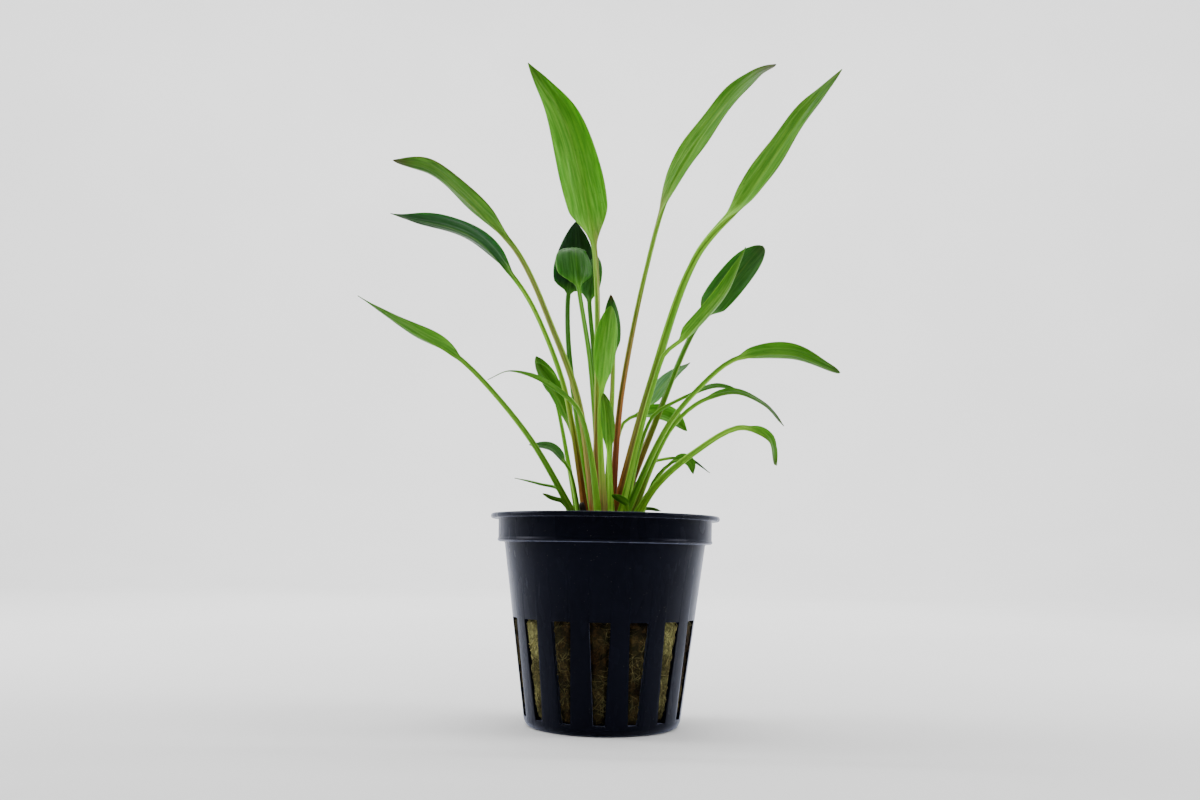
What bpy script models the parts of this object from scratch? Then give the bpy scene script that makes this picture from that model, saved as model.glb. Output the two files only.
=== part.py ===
"""Potted cryptocoryne: a clump of water trumpet growing from rock wool in a small net pot.

Metres, +Z up. The origin is the centre of the pot's base, the front of the clump faces -Y.
"""
import math
from collections import namedtuple

import bmesh
import bpy
from mathutils import Matrix, Vector

MM = 0.001
GAP = 0.3 * MM

# Net pot, a turned shell with slots
POT_HEIGHT = 48.9 * MM
RIM_RADIUS = 27.5 * MM
RIM_THICKNESS = 1.2 * MM
COLLAR_RADIUS = 25.5 * MM
COLLAR_FOOT = 42.3 * MM
BODY_TOP_RADIUS = 24.0 * MM
BODY_BASE_RADIUS = 18.3 * MM
BASE_RADIUS = 16.9 * MM
BASE_CORNER = 1.3 * MM
WALL = 0.9 * MM
FLOOR = 1.2 * MM
SLOTS = 15
SLOT_FOOT = 2.4 * MM
SLOT_HEAD = 24.8 * MM
SLOT_HEAD_WIDTH = 4.8 * MM
SLOT_FOOT_WIDTH = 2.6 * MM
FIRST_SLOT = math.radians(-92.5)
TURN_STEPS = 30
FLOOR_SLOTS = 5
FLOOR_SLOT_WIDTH = 2.2 * MM
FLOOR_SLOT_IN = 7.0 * MM
FLOOR_SLOT_OUT = 14.5 * MM

# Rock wool plug inside the pot
WOOL_TOP = 46.0 * MM
WOOL_TOP_RADIUS = 22.6 * MM
WOOL_FOOT_RADIUS = 15.0 * MM
WOOL_FOOT = FLOOR + GAP
WOOL_STEPS = 24

# Rootstocks, short stumps sunk in the wool's top
CROWN_TOP = 47.0 * MM
CROWN_DEPTH = 6.0 * MM
CROWN_STEPS = 14

# Leaves
LEAF_FOOT = CROWN_TOP + GAP
BLADE_THICKNESS = 0.45 * MM
BLADE_FOLD = 0.22
STALK_SPACING = 14.0 * MM
BLADE_SPACING = 3.0 * MM
TIP_WIDTH = 0.7 * MM

Crown = namedtuple("Crown", "name x y radius")
CROWNS = (
    Crown("crown_left", -5.9, 0.6, 2.6),
    Crown("crown_front", 0.2, -3.4, 3.1),
    Crown("crown_back", -0.2, 4.2, 3.2),
    Crown("crown_right", 6.2, 0.4, 2.8),
)

# Each leaf in millimetres: its route from the rootstock to the tip, the length and width of its blade,
# the thickness of its stalk, how far its upper side turns towards the front, in degrees, where along
# its length, from 0 to 1, the blade is widest, how finely its tip is drawn out, from 0.5 for round to 2,
# and over what share of its length the blade's foot opens from the stalk.
# The first two numbers are the stalk's foot in plan; the other points are x, y and z.
Leaf = namedtuple("Leaf", "name foot route blade width stalk turn widest fall shoulder")
LEAVES = (
    Leaf("leaf_tall_middle", (-2.2, 2.4),
         ((-2.6, 6, 91), (-3.8, 8, 116.5), (-7.7, 9, 136.5), (-13, 9, 153.5), (-22.5, 9, 168.3)),
         56, 11.4, 1.4, 70, 0.38, 0.95, 0.22),
    Leaf("leaf_tall_right", (1.4, 2.4),
         ((3.7, 3, 81), (12.9, 4, 126.3), (19.3, 3, 140.5), (29.8, 0, 155), (36.5, -1, 161.5),
          (41.5, -2, 163.8)),
         53, 8.2, 1.3, 52, 0.5, 0.6, 0.3),
    Leaf("leaf_far_right", (1.9, -2.0),
         ((10.5, -3, 81), (20.5, -6, 111), (33.2, -7, 127.3), (46.8, -9, 147.6), (56.4, -10, 159)),
         51, 7.7, 2.1, 57, 0.38, 0.85, 0.26),
    Leaf("leaf_upper_left", (-2.2, -2.8),
         ((-6.8, -5, 75.5), (-13.2, -6, 92.7), (-22.2, -7, 111.5), (-34, -8, 124), (-43.6, -9, 131.6),
          (-53.2, -10, 133.5)),
         40, 7.8, 1.5, -17, 0.52, 0.75, 0.32),
    Leaf("leaf_left_dark", (-4.3, -0.2),
         ((-9.6, -1, 76.5), (-15, -1, 92), (-22, -1, 105), (-34, -1, 117.6), (-55, -1, 123)),
         41, 8.2, 1.3, -18, 0.5, 1.25, 0.28),
    Leaf("leaf_far_left", (-6.6, -1.3),
         ((-17, -8, 64.8), (-27.4, -12, 77.4), (-36, -15, 85.2), (-45, -19, 89.7), (-57, -23, 96.5)),
         29, 6.0, 1.2, -12, 0.4, 1.9, 0.15),
    Leaf("leaf_back_left", (-2.6, 5.0),
         ((-9.4, 13, 86), (-10.8, 18, 106), (-9.2, 22, 118), (-9.3, 25, 130)),
         23, 11.0, 1.3, 10, 0.36, 0.9, 0.12),
    Leaf("leaf_back_arch", (-0.8, 4.0),
         ((-4.2, 8, 86), (-7.7, 11, 107), (-8.9, 12.5, 115), (-9.2, 15, 119.2), (-9, 19, 119.7)),
         17, 10.5, 1.2, 5, 0.42, 1.0, 0.3),
    Leaf("leaf_back_right", (-1.0, 5.9),
         ((-3.5, 10, 89.5), (-5.1, 14, 106.5), (-4.2, 17, 114), (-3.3, 20, 119)),
         16, 5.5, 1.2, 10, 0.42, 0.8, 0.2),
    Leaf("leaf_short_front", (-0.3, -4.6),
         ((-1.7, -5, 70.5), (-1.4, -6, 79), (-0.8, -7, 88), (0.4, -9, 98.5)),
         22, 5.6, 1.2, 0, 0.6, 0.75, 0.3),
    Leaf("leaf_short_back", (0.2, -1.6),
         ((1.2, 0, 80), (1.2, 0, 91), (0.7, -1, 98), (0.4, -2, 103)),
         16, 4.2, 1.1, -25, 0.5, 0.9, 0.3),
    Leaf("leaf_young", (1.4, -5.6),
         ((0.9, -6.5, 58), (0.4, -7, 66), (-0.1, -7.5, 72), (-1, -8, 77.5)),
         15, 3.4, 1.0, -25, 0.55, 0.7, 0.3),
    Leaf("leaf_right_bright", (3.0, -3.4),
         ((12.8, -9, 86), (17.8, -11, 90.8), (26.8, -15.5, 101.6), (31.5, -18, 111)),
         28, 5.6, 1.0, -12, 0.32, 1.0, 0.15),
    Leaf("leaf_right_dark", (2.5, 3.7),
         ((11.5, 6, 71), (21, 10, 95), (27.9, 13, 105.4), (36, 16, 116), (41, 18, 122)),
         29, 8.6, 1.4, 60, 0.5, 0.55, 0.2),
    Leaf("leaf_right_arch", (3.9, -0.8),
         ((14, -6, 69.5), (23, -9, 80.5), (30.5, -11, 86), (42, -14, 86.9), (53.5, -16, 82)),
         26, 6.8, 1.2, -22, 0.5, 0.6, 0.18),
    Leaf("leaf_right_upper_bow", (4.2, 1.6),
         ((10.5, 1, 72.3), (18.5, 0.5, 78), (26, 0, 80.9), (32.5, -1, 80)),
         15, 3.8, 0.9, -4, 0.45, 1.0, 0.3),
    Leaf("leaf_right_lower_bow", (5.8, 0.3),
         ((14.2, -2, 68), (21, -4, 75.6), (30, -5.5, 78.8), (37.5, -6.5, 75.8), (42, -7, 70.5)),
         25, 4.8, 1.1, -4, 0.55, 0.6, 0.3),
    Leaf("leaf_right_droop", (6.4, -1.9),
         ((12, -7, 56.2), (20.7, -12, 63.7), (30, -16.5, 68.8), (36.8, -19.5, 66), (37.7, -21, 60)),
         15, 5.2, 1.4, -24, 0.72, 0.3, 0.5),
    Leaf("leaf_low_right_thin", (6.6, 2.4),
         ((9.5, 3.5, 61), (14.5, 4, 63.2), (20.5, 5, 63.5), (25.7, 5.2, 60)),
         12, 2.0, 0.8, 0, 0.5, 1.0, 0.2),
    Leaf("leaf_low_right", (8.0, -0.2),
         ((11.2, -2, 56.5), (14, -3.5, 60.3), (17.5, -5, 62.6), (19.8, -5.6, 61.6), (20.6, -6, 58.8)),
         8, 2.8, 0.9, 50, 0.45, 1.0, 0.2),
    Leaf("leaf_far_back", (1.4, 6.1),
         ((7, 11, 68.5), (11.5, 15, 79), (15.8, 18, 85.3), (22, 21, 90.5)),
         20, 4.8, 1.0, 30, 0.45, 1.1, 0.2),
    Leaf("leaf_back_bow", (0.9, 4.0),
         ((3.6, 7, 71.3), (9.5, 9.5, 75.3), (15.5, 10.5, 75), (20.5, 11, 71)),
         17, 5.6, 0.9, -32, 0.5, 0.9, 0.2),
    Leaf("leaf_left_inner", (-4.9, 1.6),
         ((-6.6, 2.5, 60), (-8, 3.5, 67.5), (-11.5, 4.5, 77), (-18, 6, 87)),
         22, 5.2, 1.1, 40, 0.62, 0.6, 0.4),
    Leaf("leaf_left_bow", (-1.5, -5.0),
         ((-4, -9, 64.3), (-7.2, -12, 73.5), (-14.5, -16, 78.7), (-22.2, -19, 80.6), (-27.1, -22, 78)),
         23, 2.6, 1.1, 0, 0.3, 1.6, 0.1),
    Leaf("leaf_low_left", (-6.0, 0.3),
         ((-8.5, 0.8, 59), (-10.5, 0.8, 62.2), (-13.5, 0, 65), (-18.8, -1, 65.6)),
         11, 5.0, 0.9, 30, 0.5, 0.85, 0.2),
    Leaf("leaf_left_back", (-6.4, 3.0),
         ((-9.8, 7, 64), (-12.4, 9, 76), (-14.7, 11, 83), (-18.5, 13, 90)),
         14, 5.0, 0.9, 30, 0.5, 0.8, 0.25),
    Leaf("leaf_low_left_thin", (-8.0, 1.9),
         ((-11, 4, 54.9), (-16.8, 6, 56.8), (-22.7, 7, 58)),
         11, 1.6, 0.8, 10, 0.5, 0.9, 0.2),
    Leaf("leaf_lowest_left", (-7.9, 0.2),
         ((-9.8, -1, 51.7), (-12.6, -2.5, 52.6), (-15, -4, 53.7)),
         9, 3.2, 0.8, -10, 0.5, 0.7, 0.2),
    Leaf("leaf_lowest_right", (8.3, 1.5),
         ((9.3, 2.2, 50.7), (10.9, 2.6, 50.9), (13.6, 2.8, 50.3)),
         7, 3.0, 0.8, 0, 0.5, 0.8, 0.2),
    Leaf("leaf_small_round", (5.0, 2.8),
         ((6.6, 4.8, 54.8), (8.4, 5.8, 56.8), (10.2, 6, 57.6)),
         6, 3.4, 0.8, 30, 0.5, 0.5, 0.2),
    Leaf("leaf_small_dark", (4.8, -2.2),
         ((4.9, -5.6, 51.4), (3.2, -7.4, 52.6), (1.4, -9, 53.4)),
         6, 2.1, 0.8, -30, 0.5, 0.8, 0.2),
)


def clear_scene():
    """Removes whatever the file opened with."""
    for item in list(bpy.data.objects):
        bpy.data.objects.remove(item, do_unlink=True)


def new_collection(name):
    """Makes a collection in the scene."""
    group = bpy.data.collections.new(name)
    bpy.context.scene.collection.children.link(group)
    return group


def make_material(name, color, roughness, metallic=0.0):
    """A plain surface of one colour."""
    material = bpy.data.materials.new(name)
    material.use_nodes = True
    shader = material.node_tree.nodes["Principled BSDF"]
    shader.inputs["Base Color"].default_value = (*color, 1.0)
    shader.inputs["Roughness"].default_value = roughness
    shader.inputs["Metallic"].default_value = metallic
    return material


def add_object(name, mesh, group, material=None):
    """Puts a mesh in the scene as a named object."""
    item = bpy.data.objects.new(name, mesh)
    group.objects.link(item)
    if material is not None:
        mesh.materials.append(material)
    return item


def turned(name, profile, steps, group, material):
    """Turns a profile of (radius, height) points about the Z axis."""
    mesh = bpy.data.meshes.new(name)
    edges = [(i, i + 1) for i in range(len(profile) - 1)]
    mesh.from_pydata([(radius, 0.0, height) for radius, height in profile], edges, [])
    item = add_object(name, mesh, group, material)
    screw = item.modifiers.new("turn", "SCREW")
    screw.steps = steps
    screw.render_steps = steps
    screw.use_merge_vertices = True
    screw.merge_threshold = 1e-5
    return item


def arc(center, radius, start, end, count):
    """Points along an arc in the profile plane, angles in degrees."""
    angles = [math.radians(start + (end - start) * i / count) for i in range(count + 1)]
    return [(center[0] + radius * math.cos(a), center[1] + radius * math.sin(a)) for a in angles]


def cut(item, cutter, name):
    """Takes the cutter's shape out of the item."""
    boolean = item.modifiers.new(name, "BOOLEAN")
    boolean.operation = "DIFFERENCE"
    boolean.object = cutter


def hide_cutter(item):
    """Marks an object as a guide that is no part of the model."""
    item.hide_render = True
    item.display_type = "WIRE"


def pot_profile():
    """The net pot's section: inside from the floor's centre to the rim, then down the outside."""
    inner_foot = BODY_BASE_RADIUS - WALL
    lip = RIM_THICKNESS / 2
    inside = [
        (0.0, FLOOR),
        (inner_foot - FLOOR, FLOOR),
        (inner_foot, FLOOR + 1.2 * MM),
        (BODY_TOP_RADIUS - WALL, COLLAR_FOOT - WALL),
        (COLLAR_RADIUS - WALL, COLLAR_FOOT + WALL / 2),
        (COLLAR_RADIUS - WALL, POT_HEIGHT),
    ]
    edge = arc((RIM_RADIUS - lip, POT_HEIGHT - lip), lip, 90, -90, 4)
    outside = [
        (COLLAR_RADIUS, POT_HEIGHT - RIM_THICKNESS),
        (COLLAR_RADIUS, COLLAR_FOOT + 0.3 * MM),
        (COLLAR_RADIUS - 0.3 * MM, COLLAR_FOOT),
        (BODY_TOP_RADIUS, COLLAR_FOOT),
        (BODY_BASE_RADIUS, BASE_CORNER),
        (BODY_BASE_RADIUS - 0.4 * MM, BASE_CORNER / 3),
        (BASE_RADIUS, 0.0),
        (0.0, 0.0),
    ]
    return inside + edge + outside


def wedge(bm, center_angle, foot, head, foot_width, head_width, inner, outer):
    """Adds an upright tapering block that reaches from one radius to another."""
    box = bmesh.ops.create_cube(bm, size=1.0)
    turn = Matrix.Rotation(center_angle, 4, "Z")
    for vert in box["verts"]:
        width = head_width if vert.co.z > 0 else foot_width
        radius = outer if vert.co.x > 0 else inner
        height = head if vert.co.z > 0 else foot
        vert.co = turn @ Vector((radius, vert.co.y * width, height))


def build_pot(group, cutters, material):
    """The net pot, with its slots cut through wall and floor."""
    pot = turned("net_pot", pot_profile(), TURN_STEPS, group, material)
    bm = bmesh.new()
    for i in range(SLOTS):
        angle = FIRST_SLOT + i * math.tau / SLOTS
        wedge(bm, angle, SLOT_FOOT, SLOT_HEAD, SLOT_FOOT_WIDTH, SLOT_HEAD_WIDTH, WOOL_FOOT_RADIUS, RIM_RADIUS)
    for i in range(FLOOR_SLOTS):
        angle = i * math.tau / FLOOR_SLOTS
        wedge(bm, angle, -FLOOR, FLOOR * 2, FLOOR_SLOT_WIDTH, FLOOR_SLOT_WIDTH, FLOOR_SLOT_IN, FLOOR_SLOT_OUT)
    mesh = bpy.data.meshes.new("slot_cutter")
    bm.to_mesh(mesh)
    bm.free()
    cutter = add_object("slot_cutter", mesh, cutters)
    hide_cutter(cutter)
    cut(pot, cutter, "slots")


def build_wool(group, cutters, material):
    """The rock wool plug, with a pocket for each rootstock."""
    profile = [
        (0.0, WOOL_TOP),
        (WOOL_TOP_RADIUS - 1.5 * MM, WOOL_TOP),
        (WOOL_TOP_RADIUS, WOOL_TOP - 1.2 * MM),
        (WOOL_TOP_RADIUS, COLLAR_FOOT - 3 * MM),
        (WOOL_FOOT_RADIUS + 1.4 * MM, WOOL_FOOT + 3 * MM),
        (WOOL_FOOT_RADIUS, WOOL_FOOT + 0.8 * MM),
        (WOOL_FOOT_RADIUS - 1.5 * MM, WOOL_FOOT),
        (0.0, WOOL_FOOT),
    ]
    wool = turned("rock_wool", profile, WOOL_STEPS, group, material)
    bm = bmesh.new()
    for crown in CROWNS:
        depth = CROWN_DEPTH + GAP
        radius = crown.radius * MM + GAP
        place = Matrix.Translation((crown.x * MM, crown.y * MM, CROWN_TOP - depth / 2 + 1 * MM))
        bmesh.ops.create_cone(bm, cap_ends=True, segments=CROWN_STEPS, radius1=radius, radius2=radius,
                              depth=depth + 2 * MM, matrix=place)
    mesh = bpy.data.meshes.new("pocket_cutter")
    bm.to_mesh(mesh)
    bm.free()
    cutter = add_object("pocket_cutter", mesh, cutters)
    hide_cutter(cutter)
    cut(wool, cutter, "pockets")


def build_crowns(group, material):
    """The rootstocks, round stumps that narrow downwards."""
    for crown in CROWNS:
        radius = crown.radius * MM
        profile = [
            (0.0, CROWN_TOP),
            (radius - 0.4 * MM, CROWN_TOP),
            (radius, CROWN_TOP - 0.5 * MM),
            (radius, CROWN_TOP - 2.5 * MM),
            (radius * 0.8, CROWN_TOP - 4.5 * MM),
            (radius * 0.35, CROWN_TOP - CROWN_DEPTH),
            (0.0, CROWN_TOP - CROWN_DEPTH),
        ]
        stump = turned(crown.name, profile, CROWN_STEPS, group, material)
        stump.location = (crown.x * MM, crown.y * MM, 0.0)


def smooth_route(points, per_span=12):
    """A smooth line through the points, as closely spaced samples."""
    ends = [points[0] * 2 - points[1]] + points + [points[-1] * 2 - points[-2]]
    line = []
    for i in range(1, len(ends) - 2):
        a, b, c, d = ends[i - 1:i + 3]
        near = (c - a) * ((b - c).length / max((a - b).length + (b - c).length, 1e-9))
        far = (d - b) * ((b - c).length / max((b - c).length + (c - d).length, 1e-9))
        for k in range(per_span):
            t = k / per_span
            line.append(b * (2 * t ** 3 - 3 * t ** 2 + 1) + near * (t ** 3 - 2 * t ** 2 + t)
                        + c * (3 * t ** 2 - 2 * t ** 3) + far * (t ** 3 - t ** 2))
    line.append(points[-1])
    return line


def along(line, goals):
    """The point and direction on the line at each distance from its start."""
    reach = [0.0]
    for a, b in zip(line, line[1:]):
        reach.append(reach[-1] + (b - a).length)
    places = []
    for goal in goals:
        k = 0
        while k < len(line) - 2 and reach[k + 1] < goal:
            k += 1
        share = (goal - reach[k]) / (reach[k + 1] - reach[k])
        point = line[k].lerp(line[k + 1], min(share, 1.0))
        before = line[max(k - 1, 0)]
        after = line[min(k + 2, len(line) - 1)]
        places.append((point, (after - before).normalized()))
    return places


def ring_shares(stalk, blade):
    """Where a leaf's rings stand: along the stalk, then closer together along the blade, as distances."""
    stalk_rings = max(2, round(stalk / STALK_SPACING))
    blade_rings = max(5, min(8, round(blade / BLADE_SPACING)))
    shares = [stalk * i / stalk_rings for i in range(stalk_rings)]
    return shares + [stalk + blade * i / blade_rings for i in range(blade_rings + 1)]


def blade_shape(u, leaf):
    """A blade's share of its full width, from its foot at 0 to its tip at 1."""
    if u <= 0.0 or u >= 1.0:
        return 0.0
    rise = leaf.fall * leaf.widest / (1 - leaf.widest)
    opened = min(1.0, u / leaf.shoulder)
    opened *= opened * (3 - 2 * opened)
    return opened * (u / leaf.widest) ** rise * ((1 - u) / (1 - leaf.widest)) ** leaf.fall


def leaf_ring(point, direction, across, half_width, half_depth):
    """Eight points round a leaf: a round stalk where it is narrow, a thin folded blade where it is wide."""
    up = direction.cross(across)
    flat = min(1.0, max(0.0, (half_width / half_depth - 1.0) / 3.0))
    quarter = 0.72 - 0.2 * flat
    lift = BLADE_FOLD * half_width * flat
    ring = []
    upper = ((-1, 0), (-quarter, 0.75), (0, 1), (quarter, 0.75))
    lower = ((1, 0), (quarter, -0.75), (0, -1), (-quarter, -0.75))
    for side, height in upper + lower:
        offset = across * (side * half_width)
        offset += up * (height * half_depth + lift * (side * side - 0.35))
        ring.append(point + offset)
    return ring


def leaf_mesh(leaf):
    """Lofts one leaf, stalk and blade in one, along its route."""
    points = [Vector((leaf.foot[0] * MM, leaf.foot[1] * MM, LEAF_FOOT))]
    points += [Vector(place) * MM for place in leaf.route]
    line = smooth_route(points)
    spread = points[-1] - points[0]
    heading = Vector((spread.x, spread.y, 0.0)).normalized()
    sideways = Vector((-heading.y, heading.x, 0.0))
    turn = math.radians(leaf.turn) * (1 if heading.x > 0 else -1)
    total = sum((b - a).length for a, b in zip(line, line[1:]))
    blade = leaf.blade * MM
    goals = ring_shares(total - blade, blade)
    bm = bmesh.new()
    rings = []
    for reach, (point, direction) in zip(goals, along(line, goals)):
        if reach == 0.0:
            direction = Vector((0.0, 0.0, 1.0))
        u = (reach - (total - blade)) / blade
        share = blade_shape(u, leaf)
        stalk = leaf.stalk * MM / 2 * (1.0 - 0.25 * reach / total)
        half_width = stalk + (leaf.width * MM / 2 - stalk) * share
        half_depth = stalk + (BLADE_THICKNESS / 2 - stalk) * min(1.0, max(0.0, u * 3))
        if reach == goals[-1]:
            half_width = TIP_WIDTH / 2
            half_depth = BLADE_THICKNESS / 3
        across = sideways - direction * sideways.dot(direction)
        across.normalize()
        across.rotate(Matrix.Rotation(turn * min(1.0, max(0.0, u * 2 + 0.6)), 3, direction))
        ring = leaf_ring(point, direction, across, half_width, half_depth)
        rings.append([bm.verts.new(place) for place in ring])
    for near, far in zip(rings, rings[1:]):
        for i in range(8):
            k = (i + 1) % 8
            bm.faces.new((near[i], near[k], far[k], far[i]))
    bm.faces.new(rings[0][::-1])
    bm.faces.new(rings[-1])
    bmesh.ops.recalc_face_normals(bm, faces=bm.faces)
    bmesh.ops.triangulate(bm, faces=bm.faces)
    mesh = bpy.data.meshes.new(leaf.name)
    bm.to_mesh(mesh)
    bm.free()
    mesh.shade_smooth()
    return mesh


def build_leaves(group, material):
    """All the leaves of the clump."""
    for leaf in LEAVES:
        add_object(leaf.name, leaf_mesh(leaf), group, material)


def main():
    """Builds the whole plant in its pot."""
    clear_scene()
    group = new_collection("potted_cryptocoryne")
    cutters = new_collection("cutters")
    build_pot(group, cutters, make_material("pot_plastic", (0.012, 0.014, 0.028), 0.3))
    build_wool(group, cutters, make_material("rock_wool", (0.16, 0.13, 0.03), 0.95))
    build_crowns(group, make_material("crown", (0.18, 0.12, 0.05), 0.7))
    build_leaves(group, make_material("leaf", (0.08, 0.3, 0.03), 0.4))


main()
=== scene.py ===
"""Looks of a potted cryptocoryne: a clump of water trumpet in rock wool, in a small net pot.

Laid out as a Blender add-on and run as a script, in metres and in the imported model's frame: +Z up, the
origin at the centre of the pot's base, the front of the clump to -Y.
"""
import math
from collections import namedtuple

import bmesh
import bpy
import numpy as np
from bpy.props import FloatProperty, FloatVectorProperty, IntProperty, PointerProperty
from mathutils import Matrix, Vector, noise


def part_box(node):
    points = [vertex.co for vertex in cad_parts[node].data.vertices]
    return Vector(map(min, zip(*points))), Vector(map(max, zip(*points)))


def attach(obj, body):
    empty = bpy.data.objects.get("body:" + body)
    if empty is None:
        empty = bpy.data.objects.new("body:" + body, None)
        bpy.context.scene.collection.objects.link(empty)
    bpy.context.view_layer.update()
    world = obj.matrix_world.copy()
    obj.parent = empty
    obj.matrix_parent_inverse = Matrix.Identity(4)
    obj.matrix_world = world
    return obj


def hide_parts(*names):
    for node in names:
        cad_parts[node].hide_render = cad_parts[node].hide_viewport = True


bl_info = {
    "name": "Potted Cryptocoryne",
    "version": (1, 0, 0),
    "blender": (4, 5, 0),
    "location": "View3D > Sidebar > Cryptocoryne",
    "description": "Dresses a potted cryptocoryne: net pot, rock wool, rootstocks, leaves and stage",
    "category": "Add Mesh",
}

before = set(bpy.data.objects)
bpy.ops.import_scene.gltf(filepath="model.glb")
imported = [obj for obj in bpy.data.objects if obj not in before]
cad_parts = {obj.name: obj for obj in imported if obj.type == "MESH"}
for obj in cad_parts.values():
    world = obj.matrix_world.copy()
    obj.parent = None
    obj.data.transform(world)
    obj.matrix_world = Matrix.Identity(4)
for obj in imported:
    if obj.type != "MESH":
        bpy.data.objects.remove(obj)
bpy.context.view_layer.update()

MM = 0.001
POT_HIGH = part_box("net_pot")[1]
WOOL_LOW, WOOL_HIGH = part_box("rock_wool")
RIM_RADIUS = POT_HIGH.x
CROWN_NODES = ("crown_left", "crown_front", "crown_back", "crown_right")

# How one leaf is dressed: the blade's colour, the stalk's colours at its foot and at the blade, how
# strongly the margin and the tip are browned, from 0 to 1, the height of the margin's waves and of the
# lengthwise furrows, in millimetres, and the depth of the blade's channel as a share of its half width,
# below 0 for a blade that bulges.
Dress = namedtuple("Dress", "blade foot top margin tip wave furrow fold")

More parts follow.
